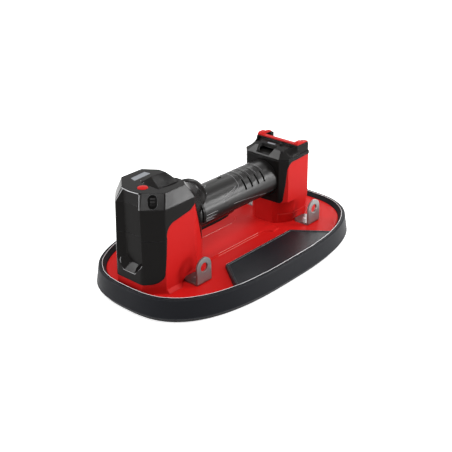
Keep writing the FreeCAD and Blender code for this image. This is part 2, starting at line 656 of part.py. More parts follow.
def grip_shells():
    """Upper and lower grip shells, meeting at the seam."""
    outer = grip_solid()
    cavity = rod_x(0, GRIP_Z, GRIP_R - GRIP_WALL, GRIP_X0 - 1, GRIP_X1 + 1)
    low_cavity = rod_x(0, GRIP_LOW_Z + GRIP_LOW_R, GRIP_LOW_R - GRIP_WALL, TRIG_X1 + 1.0, GRIP_X1 + 1)
    left = cavity.common(block(GRIP_X0 - 1, TRIG_X1 + 1.0, -30, 30, 40, 100))
    shells = outer.cut(left).cut(cavity.common(low_cavity))
    for i in range(4):
        x = 7.5 + 9.5 * i
        groove = ring_x(x, 1.1, GRIP_R - 0.6)
        shells = shells.cut(groove.common(block(-80, 80, -16.0, 16.0, 76, 95)))
        slot = ring_x(x, 2.2, GRIP_R - 2.0)
        shells = shells.cut(slot.common(block(-80, 80, -18.6, -11.0, 76.5, 92)))
        shells = shells.cut(slot.common(block(-80, 80, 11.0, 18.6, 76.5, 92)))
    for i in range(3):
        line = ring_band(-54.0 - 0.6 * i, -38.5 - 2.2 * i, GRIP_R - 0.5)
        shells = shells.cut(line.common(block(-80, 80, -30, 30, 70.2 - 2.8 * i, 70.9 - 2.8 * i)))
    upper = shells.common(block(-80, 80, -30, 30, GRIP_SEAM_Z + 0.15, 100))
    lower = shells.common(block(-80, 80, -30, 30, 40, GRIP_SEAM_Z - 0.15))
    window = block(TRIG_X0 - SIDE_GAP, TRIG_X1 + SIDE_GAP, -TRIG_HALF - SIDE_GAP, TRIG_HALF + SIDE_GAP, 40, 60)
    lower = lower.cut(window)
    for side in (-1, 1):
        y0 = side * (TRIG_HALF + SIDE_GAP)
        y1 = side * (TRIG_HALF + SIDE_GAP + 3.0)
        lug = block(PIVOT_X - 3.5, PIVOT_X + 3.5, min(y0, y1), max(y0, y1), 54.5, 65.0)
        lug = lug.makeFillet(2.5, edges_along(lug, Y_AXIS, lambda c: c.z > 60))
        upper = upper.cut(lug)
        lower = lower.fuse(lug.common(rod_x(0, GRIP_Z, GRIP_R - 0.2, -80, 0)))
    lower = lower.cut(rod_y(PIVOT_X, PIVOT_Z, PIVOT_R, -20, 20))
    return upper, lower.removeSplitter()


def ring_band(x0, x1, radius):
    """Everything outside the radius about the grip's axis, from x0 to x1."""
    return rod_x(0, GRIP_Z, GRIP_R + 3, x0, x1).cut(rod_x(0, GRIP_Z, radius, x0 - 1, x1 + 1))


def ring_x(x, width, radius):
    return ring_band(x - width / 2, x + width / 2, radius)


def release_trigger():
    profile = [V(TRIG_X0, 0, 57.5), V(TRIG_X0 + 2.0, 0, TRIG_LOW + 0.8), V(TRIG_X0 + 6.0, 0, TRIG_LOW),
               V(-22.0, 0, TRIG_LOW), V(-13.0, 0, TRIG_LOW + 0.8), V(TRIG_X1, 0, TRIG_LOW + 4.6),
               V(TRIG_X1, 0, TRIG_TOP - 3.0), V(TRIG_X1 - 4.0, 0, TRIG_TOP - 1.4), V(PIVOT_X + 3.2, 0, TRIG_TOP - 1.4),
               V(PIVOT_X + 1.6, 0, PIVOT_Z + 2.8), V(PIVOT_X - 1.8, 0, PIVOT_Z + 2.8)]
    body = Part.Face(polygon_wire(profile))
    body.translate(V(0, -TRIG_HALF, 0))
    body = body.extrude(V(0, 2 * TRIG_HALF, 0))
    low_edges = [e for e in edges_along(body, X_AXIS, lambda c: c.z < TRIG_LOW + 0.3)]
    body = body.makeFillet(2.6, low_edges)
    body = body.cut(block(PIVOT_X + 4.5, TRIG_X1 - 3.0, -TRIG_HALF + 2.2, TRIG_HALF - 2.2, TRIG_LOW + 3.0, 70))
    pusher = block(VALVE_X - 3.0, VALVE_X + 3.0, -TRIG_HALF + 2.0, TRIG_HALF - 2.0, TRIG_LOW + 2.0, STEM_LOW - 0.4)
    body = body.fuse(pusher)
    return body.cut(rod_y(PIVOT_X, PIVOT_Z, PIVOT_R + RUN_FIT, -20, 20)).removeSplitter()


def trigger_pin():
    return rod_y(PIVOT_X, PIVOT_Z, PIVOT_R, -TRIG_HALF - SIDE_GAP - 3.0, TRIG_HALF + SIDE_GAP + 3.0)


def valve_body():
    outer = block(VALVE_X - 9.0, VALVE_X + 9.0, -8.0, 8.0, 65.2, VALVE_TOP_Z)
    outer = outer.makeFillet(2.0, edges_along(outer, Z_AXIS, lambda c: True))
    nozzle = rod_x(0, 76.0, 2.95, -58.0, VALVE_X - 8.0)
    saddle = block(VALVE_X - 6.0, VALVE_X + 6.0, -5.0, 5.0, VALVE_TOP_Z, 90).common(
        rod_x(0, GRIP_Z, GRIP_R - GRIP_WALL, -60, 10))
    body = fuse([outer, nozzle, saddle])
    body = body.cut(rod_x(0, 76.0, 1.8, -60.0, VALVE_X))
    body = body.cut(rod_z(VALVE_X, 0, 6.0, VALVE_SEAT_Z, VALVE_TOP_Z - 2.0))
    body = body.cut(rod_z(VALVE_X, 0, STEM_R + RUN_FIT, 60, VALVE_SEAT_Z + 1))
    for y in (-6.4, 6.4):
        body = body.cut(rod_z(VALVE_X + 6.4, y, 0.8, 60, 69))
    return body.cut(rod_x(0, 66.8, 1.0, VALVE_X, VALVE_X + 12)).removeSplitter()


def valve_stem():
    stem = rod_z(VALVE_X, 0, STEM_R, STEM_LOW, VALVE_SEAT_Z + 1.0)
    poppet = rod_z(VALVE_X, 0, 5.0, VALVE_SEAT_Z + 0.3, VALVE_SEAT_Z + 2.6)
    guide = rod_z(VALVE_X, 0, 1.2, VALVE_SEAT_Z + 2.6, VALVE_SEAT_Z + 5.5)
    return fuse([stem, poppet, guide])


def helix_spring(x, y, z0, z1, radius, wire, turns):
    path = Part.makeHelix((z1 - z0 - wire) / turns, z1 - z0 - wire, radius)
    path.translate(V(x, y, z0 + wire / 2))
    start = path.Edges[0].valueAt(path.Edges[0].FirstParameter)
    tangent = path.Edges[0].tangentAt(path.Edges[0].FirstParameter)
    section = Part.Wire([Part.makeCircle(wire / 2, start, tangent)])
    return Part.Wire(path.Edges).makePipeShell([section], True, True)


def wire_loom():
    """Two power wires that run from the dock through the grip to the pump tower."""
    wires = []
    for y in (-9.4, 9.4):
        points = [V(64.0, y * 0.5, 74.0), V(40.0, y * 0.7, 74.0), V(0.0, y, 74.0), V(-46.0, y, 74.0),
                  V(-62.0, y * 0.95, 70.5), V(-73.5, y * 0.95, 69.0)]
        curve = Part.BSplineCurve()
        curve.interpolate(points)
        spine = Part.Wire([curve.toShape()])
        start = Part.makeCircle(1.1, points[0], curve.tangent(curve.FirstParameter)[0])
        wires.append(spine.makePipeShell([Part.Wire([start])], True, True))
    return Part.makeCompound(wires)


# ---------------------------------------------------------------- pump

def at_motor(shape):
    shape.translate(V(PT_AXIS_X, 0, 0))
    return shape


def motor_can():
    can = rod_z(0, 0, MOTOR_R, MOTOR_Z0, MOTOR_Z1).cut(rod_z(0, 0, MOTOR_R - 1.2, MOTOR_Z0 + 1.6, MOTOR_Z1 + 1))
    can = can.cut(rod_z(0, 0, SHAFT_R + RUN_FIT, 40, 60))
    for i in range(4):
        angle = math.pi / 4 + i * math.pi / 2
        can = can.cut(rod_z(9.5 * math.cos(angle), 9.5 * math.sin(angle), 1.5, 40, 60))
    return at_motor(can)


def motor_magnets():
    ring = ring_z(0, 0, MOTOR_R - 1.2, MOTOR_R - 3.0, 55.0, 80.0)
    gap = block(-3.0, 3.0, -20, 20, 50, 90)
    return at_motor(ring.cut(gap))


def motor_endcap():
    cap = rod_z(0, 0, MOTOR_R, MOTOR_Z1, MOTOR_Z1 + 3.0).fuse(rod_z(0, 0, 5.0, MOTOR_Z1 + 3.0, MOTOR_Z1 + 5.5))
    cap = cap.cut(rod_z(0, 0, SHAFT_R + RUN_FIT, 80, 100))
    for side in (-1, 1):
        tab = block(-2.0, 2.0, side * 10.0 - 0.4, side * 10.0 + 0.4, MOTOR_Z1 + 3.0, MOTOR_Z1 + 8.0)
        cap = cap.fuse(tab)
    return at_motor(cap)


def pump_rotor():
    """Shaft, laminated core with slots, and commutator."""
    shaft = rod_z(0, 0, SHAFT_R, 33.0, MOTOR_Z1 + 4.8)
    core = rod_z(0, 0, MOTOR_R - 3.5, 56.0, 79.0)
    for i in range(5):
        slot = block(5.0, 20.0, -1.1, 1.1, 50, 85).fuse(rod_z(7.5, 0, 2.4, 50, 85))
        slot.rotate(V(0, 0, 0), Z_AXIS, 72.0 * i)
        core = core.cut(slot)
    commutator = rod_z(0, 0, 4.2, 80.5, 86.0)
    for i in range(5):
        cut = block(3.4, 6.0, -0.2, 0.2, 80, 87)
        cut.rotate(V(0, 0, 0), Z_AXIS, 72.0 * i + 36.0)
        commutator = commutator.cut(cut)
    return at_motor(fuse([shaft, core, commutator]))


def motor_windings():
    """Copper wound through the slots of the core."""
    turns = []
    for i in range(5):
        coil = rod_z(7.5, 0, 1.9, 54.0, 80.2)
        coil.rotate(V(0, 0, 0), Z_AXIS, 72.0 * i)
        turns.append(coil)
    return at_motor(Part.makeCompound(turns))


def eccentric():
    """Offset cam on the shaft that works the two diaphragms."""
    cam = rod_z(ECC_SHIFT, 0, ECC_R, 35.0, 41.0)
    weight = rod_z(0, 0, 8.6, 42.0, 45.5).common(block(-10, 0.5, -10, 10, 40, 50)).fuse(rod_z(0, 0, 4.0, 41.0, 45.5))
    return at_motor(fuse([cam, weight]).cut(rod_z(0, 0, SHAFT_R, 20, 60)))


def both_sides(start, end):
    """Spans along Y for the two diaphragms, given as distances from the motor axis."""
    return ((-end, -start), (start, end))


def pump_head():
    """Body with the cam space in the middle and one diaphragm chamber on each side."""
    half = PUMP_HALF
    body = block(-PUMP_HALF_X, PUMP_HALF_X, -half, half, 26.0, MOTOR_Z0)
    body = body.makeFillet(3.0, edges_along(body, Z_AXIS, lambda c: True))
    body = body.cut(rod_z(0, 0, 10.5, 31.0, 50.0))
    for y0, y1 in both_sides(12.0, half + 0.1):
        body = body.cut(rod_y(0, DIAPHRAGM_Z, 9.0, y0, y1))
    for y0, y1 in both_sides(8.0, 13.0):
        body = body.cut(rod_y(0, DIAPHRAGM_Z, 5.0, y0, y1))
    inlet = rod_z(PORT_X - PT_AXIS_X, 0, PORT_R + 1.6, PLATE_TOP, 26.0)
    legs = [rod_z(x, y, 3.0, PLATE_TOP + 2.2, 26.0) for x in (-13.0, 13.0) for y in (-13.5, 13.5)]
    return at_motor(fuse([body, inlet, *legs]).cut(rod_z(PORT_X - PT_AXIS_X, 0, 2.4, 0, 31.5)))


def pump_covers():
    """Valve covers that close the diaphragm chambers."""
    covers = []
    for y0, y1 in both_sides(PUMP_HALF, PUMP_HALF + 3.6):
        cover = block(-13.0, 13.0, y0, y1, 27.5, 48.5)
        cover = cover.makeFillet(3.0, edges_along(cover, Y_AXIS, lambda c: True))
        cover = cover.cut(rod_y(0, DIAPHRAGM_Z, 2.0, -30, 30))
        for x in (-10.0, 10.0):
            for z in (30.5, 45.5):
                cover = cover.cut(rod_y(x, z, 1.0, -30, 30))
        covers.append(cover)
    return at_motor(Part.makeCompound(covers))


def diaphragms():
    discs = []
    for (rim0, rim1), (nose0, nose1) in zip(both_sides(12.0, 13.6), both_sides(NOSE_Y, 12.0)):
        discs.append(fuse([rod_y(0, DIAPHRAGM_Z, 9.0, rim0, rim1), rod_y(0, DIAPHRAGM_Z, 4.6, nose0, nose1)]))
    return at_motor(Part.makeCompound(discs))


def check_valves():
    discs = []
    for y0, y1 in both_sides(16.4, PUMP_HALF):
        disc = rod_y(0, DIAPHRAGM_Z, 9.0, y0, y1)
        for i in range(4):
            angle = math.pi / 4 + i * math.pi / 2
            hole_z = DIAPHRAGM_Z + 4.5 * math.sin(angle)
            disc = disc.cut(rod_y(4.5 * math.cos(angle), hole_z, 1.2, -30, 30))
        discs.append(disc)
    return at_motor(Part.makeCompound(discs))


def control_board():
    board = block(-124.0, -82.0, -27.0, 27.0, BOARD_Z, BOARD_Z + 1.6)
    for y0, y1 in both_sides(17.5, 30.0):
        board = board.cut(block(-130, -117.0, y0, y1, 90, 100))
    return board


def board_parts():
    chips = [block(-112.0, -103.0, -16.0, -8.0, 97.8, 99.2), block(-98.0, -90.0, -20.0, -15.0, 97.8, 99.0),
             block(-121.0, -114.0, 8.0, 15.0, 97.8, 100.0), rod_z(-88.0, 17.0, 3.0, 97.8, 101.5),
             block(BUTTON_X - 3.5, BUTTON_X + 3.5, BUTTON_Y - 3.5, BUTTON_Y + 3.5, 97.8, SWITCH_Z),
             rod_z(BUTTON_X, BUTTON_Y, 1.2, SWITCH_Z, SWITCH_Z + 0.9),
             block(-110.0, -95.0, 12.0, 20.0, 97.8, 101.0)]
    return Part.makeCompound([fuse([chips[4], chips[5]]), *chips[:4], chips[6]])


def pressure_sensor():
    x, y = SENSOR_PORT
    body = block(x - 4.0, x + 4.0, y - 5.0, y + 5.0, BOARD_Z - 4.4, BOARD_Z)
    nipple = rod_z(x, y, HOSE_BARBS[0][2], BOARD_Z - 9.7, BOARD_Z - 4.4)
    return body.fuse(nipple).removeSplitter()


def tube(start, leaves, end, arrives, r_out, r_in):
    """A hose from start to end; leaves and arrives give its direction there and how far it holds it."""
    curve = Part.BezierCurve()
    curve.setPoles([start, start + leaves, end - arrives, end])
    spine = Part.Wire([curve.toShape()])
    outer = spine.makePipeShell([Part.Wire([Part.makeCircle(r_out, start, leaves)])], True)
    inner = spine.makePipeShell([Part.Wire([Part.makeCircle(r_in, start, leaves)])], True)
    return outer.cut(inner)


def vacuum_hose():
    """Sensing hose from the plate to the pressure sensor."""
    x, y, radius = HOSE_BARBS[0]
    return tube(V(x, y, PLATE_TOP + 2.2), V(0, 0, 38.0), V(*SENSOR_PORT, BOARD_Z - 4.4), V(0, 0, 38.0),
                radius + 0.9, radius + 0.05)


def release_hose():
    """Hose from the release valve back to the suction side."""
    x, y, radius = HOSE_BARBS[1]
    return tube(V(-55.0, 0, 76.0), V(-32.0, 0, 0), V(x, y, PLATE_TOP + 2.2), V(0, 0, -36.0),
                radius + 1.0, radius + 0.05)


# ---------------------------------------------------------------- battery dock tower

def dock_outline(front, corner, half, side, back, shrink=0.0):
    points = symmetric([(front, -half), (front + corner, -side), (back, -side)])
    return inset(points, shrink) if shrink else points


def dock_low_wire(z, low_side, shrink=0.0):
    """The rounded foot outline of the dock tower."""
    s = shrink
    side = low_side - s
    back = DT_BACK - s
    nose = DT_FRONT + 1.0 + s
    edges = [Part.makeLine(V(back, -side, z), V(DT_FRONT + 20.0, -side, z)),
             Part.Arc(V(DT_FRONT + 20.0, -side, z), V(DT_FRONT + 7.6 + s * 0.7, -side + 6.4, z),
                      V(nose, -12.0, z)).toShape(),
             Part.Arc(V(nose, -12.0, z), V(nose - 0.7, 0, z), V(nose, 12.0, z)).toShape(),
             Part.Arc(V(nose, 12.0, z), V(DT_FRONT + 7.6 + s * 0.7, side - 6.4, z),
                      V(DT_FRONT + 20.0, side, z)).toShape(),
             Part.makeLine(V(DT_FRONT + 20.0, side, z), V(back, side, z)),
             Part.makeLine(V(back, side, z), V(back, -side, z))]
    return Part.Wire(edges)


def dock_envelope(shrink=0.0, z0=PLATE_TOP, z1=DT_BAND_Z):
    low_part = loft([dock_low_wire(PLATE_TOP, BRACKET_Y - BRACKET_FOOT - 0.7, shrink),
                     dock_low_wire(46.0, DT_SIDE, shrink)])
    outline = dock_outline(DT_FRONT, 7.6, 21.4, DT_SIDE, DT_BACK, shrink)
    high_part = prism_z(outline, 46.0, DT_BAND_Z)
    return low_part.fuse(high_part).common(block(0, 200, -60, 60, z0, z1))


def dock_black_region():
    low = [V(40, 0, 45.0), V(54.5, 0, 45.0)]
    toe = V(57.6, 0, 47.0)
    side = [V(58.6, 0, 51.0), V(60.4, 0, 66.0), V(61.6, 0, 83.0)]
    knee = V(64.4, 0, 88.4)
    top = [V(72.0, 0, 90.6), V(110.0, 0, 92.2), V(110, 0, 120), V(40, 0, 120)]
    edges = [Part.makeLine(low[0], low[1]), Part.Arc(low[1], toe, side[0]).toShape()]
    edges += [Part.makeLine(a, b) for a, b in zip(side, side[1:])]
    edges.append(Part.Arc(side[-1], knee, top[0]).toShape())
    edges += [Part.makeLine(a, b) for a, b in zip(top, top[1:])]
    edges.append(Part.makeLine(top[-1], low[0]))
    face = Part.Face(Part.Wire(edges))
    face.translate(V(0, -60, 0))
    return face.extrude(V(0, 120, 0))


def dock_channel():
    """Space the battery's foot slides down into: open at the back and the top, with undercut sides."""
    neck = block(DOCK_X, 120, -DOCK_HALF + 3.0, DOCK_HALF - 3.0, DOCK_LOW, 130)
    wide = block(DOCK_X, DT_BACK - 4.0, -DOCK_HALF, DOCK_HALF, DOCK_LOW, 130)
    return neck.fuse(wide)


def dock_tower_parts():
    outer = dock_envelope()
    outer = outer.makeFillet(2.0, edges_along(outer, Z_AXIS, lambda c: c.x < 70 and c.z > 60))
    cavity = dock_envelope(WALL, PLATE_TOP + 2.2, DT_BAND_Z)
    cavity = cavity.cut(block(DOCK_X - WALL, 130, -DOCK_HALF - WALL, DOCK_HALF + WALL, DOCK_LOW - WALL, 130))
    walls = outer.cut(cavity).cut(dock_channel())
    region = dock_black_region()
    black = walls.common(region)
    red = walls.cut(region).common(dock_envelope(0.5).fuse(block(60, 98, -60, 60, 10, 30)))
    for x, y, into in screw_places():
        if into == "tower" and x > 0:
            red = red.fuse(rod_z(x, y, BOSS_R - 0.8, PLATE_TOP, PLATE_TOP + TOWER_BOSS_H))
    for x, y, into in screw_places():
        if into == "tower" and x > 0:
            red = red.cut(rod_z(x, y, SCREW_R, 0, PLATE_TOP + TOWER_BOSS_H - 0.5))
    grip = rod_x(0, GRIP_Z, GRIP_R + 0.0, 40, GRIP_X1)
    black = black.cut(grip).cut(rod_x(0, GRIP_Z, 12.0, 50, 66))
    red = red.cut(grip)
    return red, black


def dock_cap():
    """Faceted cap of the dock tower, with the latch pocket and two round recesses."""
    low = dock_outline(DT_FRONT, 7.6, 21.4, DT_SIDE, DT_BACK)
    mid = dock_outline(DT_FRONT + 0.3, 7.3, 21.4, DT_SIDE, DT_BACK)
    top = dock_outline(DT_FRONT + 9.0, 2.5, 17.0, 20.5, DT_BACK)
    lower = tower_loft(low, DT_BAND_Z, mid, DT_BAND_Z + 2.0)
    upper = tower_loft(mid, DT_BAND_Z + 2.0, top, DT_DECK_Z)
    wall = block(78.5, DT_BACK, -27.6, 27.6, DT_BAND_Z + 2.0, DT_RAIL_Z)
    wall = wall.common(prism_y([(76.5, 90), (78.8, DT_RAIL_Z), (98, DT_RAIL_Z), (98, 90)], -40, 40))
    wall = wall.common(prism_x([(-28.9, 90), (-28.9, 96.5), (-27.0, DT_RAIL_Z), (27.0, DT_RAIL_Z), (28.9, 96.5),
                                (28.9, 90)], 70, 100))
    flank = loft([polygon_wire([V(64.0, y, z) for y, z in [(-27.6, 94.0), (-27.4, 95.4), (-18.4, 101.2), (-18.4, 94.0)]]),
                  polygon_wire([V(80.0, y, z) for y, z in [(-28.9, 94.0), (-28.7, 97.0), (-26.6, DT_RAIL_Z),
                                                           (-21.0, 94.0)]])])
    deck = prism_y([(64.0, DT_DECK_Z - 2.0), (64.0, DT_DECK_Z), (79.0, DT_DECK_Z + 1.6), (79.0, DT_DECK_Z - 2.0)],
                   -20.0, 20.0)
    body = fuse([lower, upper, wall, deck, flank, mirrored(flank)])
    hollow = tower_loft(inset(low, WALL), DT_BAND_Z - 1.0, inset(dock_outline(
        DT_FRONT + 7.0, 2.5, 14.0, 18.0, DT_BACK), WALL), DT_DECK_Z - WALL)
    hollow = hollow.cut(block(DOCK_X - WALL, 130, -40, 40, 80, 130))
    pocket = loft([polygon_wire([V(x, y, 95.8) for x, y in [(50, -7.5), (67.0, -6.0), (67.0, 9.0), (50, 10.5)]]),
                   polygon_wire([V(x, y, 103.0) for x, y in [(50, -10.5), (70.6, -8.0), (70.6, 12.5), (50, 16.5)]])])
    pocket_under = block(50.0, 75.0, -12, 18, 90.0, 95.8)
    body = body.cut(hollow.cut(pocket_under)).cut(pocket).cut(dock_channel())
    for x, y in ((75.4, -10.0), (72.6, 18.6)):
        body = body.cut(Part.makeSphere(4.0, V(x, y, DT_DECK_Z + 3.4)))
    return body.cut(status_strip()).removeSplitter()


def status_strip():
    return block(71.6, 73.6, -2.6, 7.0, DT_DECK_Z - 1.0, DT_DECK_Z + 1.35)


def dock_rail_bar():
    """Red lip on the dock's top edge, with a raised guide at each end."""
    bar = block(79.2, DOCK_X, -26.8, 26.8, DT_RAIL_Z, DT_BAR_Z)
    guide = prism_y([(79.2, DT_RAIL_Z), (79.2, DT_BAR_Z + 0.3), (81.4, DT_BAR_Z + 1.9), (88.0, DT_BAR_Z + 1.9),
                     (91.0, DT_BAR_Z), (DT_BACK, DT_BAR_Z - 0.4), (DT_BACK, DT_RAIL_Z)], -26.8, -DOCK_HALF)
    guide = guide.makeFillet(0.6, edges_along(guide, Y_AXIS, lambda c: c.z > DT_BAR_Z + 1.0))
    return fuse([bar, guide, mirrored(guide)]).removeSplitter()


def terminal_block():
    body = block(DOCK_X, DOCK_X + 6.0, -15.0, 15.0, DOCK_LOW, DOCK_LOW + 16.0)
    for y in (-11.0, -3.7, 3.7, 11.0):
        body = body.cut(block(DOCK_X + 2.0, DOCK_X + 7.0, y - 1.6, y + 1.6, DOCK_LOW + 2.0, DOCK_LOW + 17.0))
    return body


def dock_contacts():
    blades = []
    for y in (-11.0, -3.7, 3.7, 11.0):
        blades.append(block(DOCK_X + 2.0, DOCK_X + 5.4, y - 0.4, y + 0.4, DOCK_LOW + 2.0, DOCK_LOW + 14.5))
    return Part.makeCompound(blades)


def build():
    nodes = {}
    nodes["seal_skirt"] = seal_skirt()
    nodes["foam_seal"] = foam_seal()
    nodes["base_plate"] = base_plate()
    nodes["base_screws"] = base_screws()
    panel = side_panel()
    nodes["side_panel_near"] = panel
    nodes["side_panel_far"] = mirrored(panel)
    nodes.update(brackets())
    nodes["filter_cap"] = filter_cap()
    nodes["filter_disc"] = filter_disc()
    housing, lower, upper, rear = tower_parts()
    nodes["pump_housing"] = housing
    nodes["front_cover_lower"] = lower
    nodes["front_cover_upper"] = upper
    nodes["pump_cap"] = pump_cap()
    nodes["display_window"] = display_window()
    nodes["power_button"] = power_button()
    nodes["exhaust_port"] = exhaust_port()
    nodes["button_spring"] = helix_spring(BUTTON_X, BUTTON_Y, SWITCH_Z, 111.2, 2.4, 0.5, 5)
    nodes["handle_collar"] = rear_cover(rear)
    grip_upper, grip_lower = grip_shells()
    nodes["grip_upper"] = grip_upper
    nodes["grip_lower"] = grip_lower
    nodes["release_trigger"] = release_trigger()
    nodes["trigger_pin"] = trigger_pin()
    nodes["valve_body"] = valve_body()
    nodes["valve_stem"] = valve_stem()
    nodes["valve_spring"] = helix_spring(VALVE_X, 0, VALVE_SEAT_Z + 2.7, VALVE_TOP_Z - 2.1, 3.0, 0.6, 5)
    nodes["wire_loom"] = wire_loom()
    nodes["motor_can"] = motor_can()
    nodes["motor_magnets"] = motor_magnets()
    nodes["motor_endcap"] = motor_endcap()
    nodes["pump_rotor"] = pump_rotor()
    nodes["motor_windings"] = motor_windings()
    nodes["pump_eccentric"] = eccentric()
    nodes["pump_head"] = pump_head()
    nodes["pump_covers"] = pump_covers()
    nodes["pump_diaphragms"] = diaphragms()
    nodes["check_valves"] = check_valves()
    nodes["control_board"] = control_board()
    nodes["board_parts"] = board_parts()
    nodes["pressure_sensor"] = pressure_sensor()
    nodes["vacuum_hose"] = vacuum_hose()
    nodes["release_hose"] = release_hose()
    red, black = dock_tower_parts()
    nodes["dock_housing"] = red
    nodes["dock_front_cover"] = black
    nodes["dock_cap"] = dock_cap()
    nodes["status_strip"] = status_strip()
    nodes["dock_rail_bar"] = dock_rail_bar()
    nodes["terminal_block"] = terminal_block()
    nodes["dock_contacts"] = dock_contacts()
    return nodes


def main():
    os.makedirs("parts", exist_ok=True)
    for name, shape in build().items():
        export(shape, name)


main()
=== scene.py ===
"""Finish, small fittings, lamps and camera for a cordless suction lifter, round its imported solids."""

import json
import math

import bmesh
import bpy
from mathutils import Matrix, Vector
from mathutils.bvhtree import BVHTree


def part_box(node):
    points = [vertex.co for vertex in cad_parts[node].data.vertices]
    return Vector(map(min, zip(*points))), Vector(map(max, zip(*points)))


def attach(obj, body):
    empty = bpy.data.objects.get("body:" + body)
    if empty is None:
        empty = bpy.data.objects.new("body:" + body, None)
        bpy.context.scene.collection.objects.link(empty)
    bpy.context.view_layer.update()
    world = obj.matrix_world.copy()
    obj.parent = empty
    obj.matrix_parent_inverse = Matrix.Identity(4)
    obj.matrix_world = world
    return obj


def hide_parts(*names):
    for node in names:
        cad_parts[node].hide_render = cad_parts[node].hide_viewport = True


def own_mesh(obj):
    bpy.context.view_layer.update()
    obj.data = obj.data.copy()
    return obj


bl_info = {
    "name": "Suction lifter finish",
    "version": (1, 0, 0),
    "blender": (4, 5, 0),
    "location": "View3D > Sidebar > Lifter",
    "description": "Builds the finish and the small fittings of a cordless suction lifter",
    "category": "Object",
}

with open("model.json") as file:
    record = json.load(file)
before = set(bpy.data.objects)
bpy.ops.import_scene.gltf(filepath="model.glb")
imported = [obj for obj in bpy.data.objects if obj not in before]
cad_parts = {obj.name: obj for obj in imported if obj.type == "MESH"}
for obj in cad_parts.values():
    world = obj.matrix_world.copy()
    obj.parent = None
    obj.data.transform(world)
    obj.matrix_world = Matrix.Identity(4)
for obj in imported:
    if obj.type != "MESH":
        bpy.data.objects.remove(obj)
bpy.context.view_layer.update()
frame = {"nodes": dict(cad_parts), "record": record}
NODES = frame["nodes"]
MM = 0.001
TINY = 1e-6
DOWN = (0.0, 0.0, -1.0)

# Solids that get an evenly shaded copy, and solids whose finish isn't their slot's own.
SMOOTHED = ("grip_upper", "grip_lower", "pump_housing", "front_cover_upper", "front_cover_lower", "dock_cap",
            "dock_housing", "dock_front_cover", "seal_skirt", "base_plate", "side_panel_near",
            "side_panel_far", "power_button")
# The base plate takes the housings' red made lighter: painted light on the plate's top.
# The exhaust port takes a black darker than the covers' black: painted shade inside the hole.
NODE_FINISH = {"exhaust_port": "port_shade_black", "pump_cap": "cap_black", "base_plate": "painted_lit_red"}
MERGE_GAP = 0.000002         # m, corners of loose triangles that are closer than this are one corner
CREASE = math.radians(20.0)  # a sharper fold than this stays crisp

# Beads: the radius in line bead radii, the finish, and the slot.
# Light finishes on the edge lines paint highlights, and the darkened one paints the thumb hole's shade.
BEADS = {
    "grip_hoops": (0.8, "grey_highlight", "grip_soft"),
    "pad_edges": (1.0, "grey_highlight", "grip_soft"),
    "pad_end": (1.5, "grey_highlight", "grip_soft"),
    "grip_bars": (1.1, "grey_highlight", "grip_soft"),
    "thumb_hole_shade": (5.0, "port_shade_black", "grip_soft"),
    "grip_seam_glint": (0.8, "grey_highlight", "grip_soft"),
    "channel_lip": (2.2, "line_bright", "black_plastic"),
    "channel_sides": (1.5, "line_bright", "black_plastic"),
    "scoop_edges": (1.1, "line_bright", "black_plastic"),
    "scoop_ribs": (0.6, "grey_highlight", "black_plastic"),
    "port_rim": (0.7, "dim_highlight", "black_plastic"),
    "charge_lamps": (16.0 / 11.0, "line_bright", "display_lens"),
    "panel_lines": (1.1, "rubber_highlight", "panel_rubber"),
    "deck_lines": (1.0, "rose_highlight", "red_plastic"),
    "rim_line": (1.1, "rubber_highlight", "skirt_rubber"),
}
BEAD_SIDES = 6

# Stations of the grip's trim: along X in mm, and degrees round from the top.
GRIP_HOOPS = (10.6, 20.2, 29.8, 39.2)
HOOP_TURNS = range(-36, 37, 4)
PAD_EDGE = ((1.6, 0), (1.8, 8), (1.5, 16), (0.8, 28), (0.0, 40), (-0.5, 50), (-3.7, 56), (-10.0, 61),
            (-17.5, 65.5), (-24.4, 68.5), (-26.8, 74.5))
PAD_EDGE_INNER = ((-4.1, 47), (-9.6, 52.6), (-15.7, 56.6), (-23.4, 62.4))
PAD_END = ((-33.1, 0), (-34.5, 4), (-37.4, 9), (-43.0, 17), (-42.2, 24), (-41.8, 31), (-46.6, 38),
           (-52.4, 45), (-54.6, 54), (-56.4, 63), (-57.0, 72))
SIDE_BARS = (((-52.3, 91.0), (-36.8, 90.6)), ((-54.0, 101.0), (-38.4, 101.0)),
             ((-56.6, 109.0), (-53.4, 109.8)), ((-52.0, 110.2), (-40.8, 111.4)))
SEAM_GLINT = ((-13.3, 93.5), (-6.0, 95.0), (0.8, 96.6), (14.0, 101.5), (27.0, 107.0), (38.0, 112.0))
THUMB_HOLE_SHADE = ((-12.5, 6.0), (-8.0, 6.0))
THUMB_SINK = -0.0004         # m, how deep the middle of the dark mark painted as the thumb hole's shade lies
GRIP_CLEAR = 0.04            # m from the grip's axis, outside the grip
BEAD_LIFT = 0.00004          # m, how far the trim's middle stands off the grip

# The channel down the pump tower's front, in mm.
TOWER_CLEAR = -200.0         # along X, before the tower's front
CHANNEL_FLOOR = -130.0       # along X
CHANNEL_HALF = 10.4          # half the floor's width
CHANNEL_SPREAD = 0.9636      # how far a wall goes outwards for each mm forwards
MOUTH_HALF = 12.0            # half width that the search for the mouth starts from
MOUTH_ROUNDS = 8
BESIDE_MOUTH = 0.8           # how far outside the mouth the tower's front is felt
ON_MOUTH = 0.1
TRIM_LOW = 103.4             # height where the bright lines painted as the edges' highlights start
TRIM_RISE = 13.0
TRIM_STEPS = 12
SCOOP_CORNERS = ((14.4, 46.6), (13.6, 44.2), (7.6, 37.4), (-7.6, 37.4), (-13.6, 44.2), (-14.4, 46.6))
SCOOP_FLOOR = (5.4, 43.0)

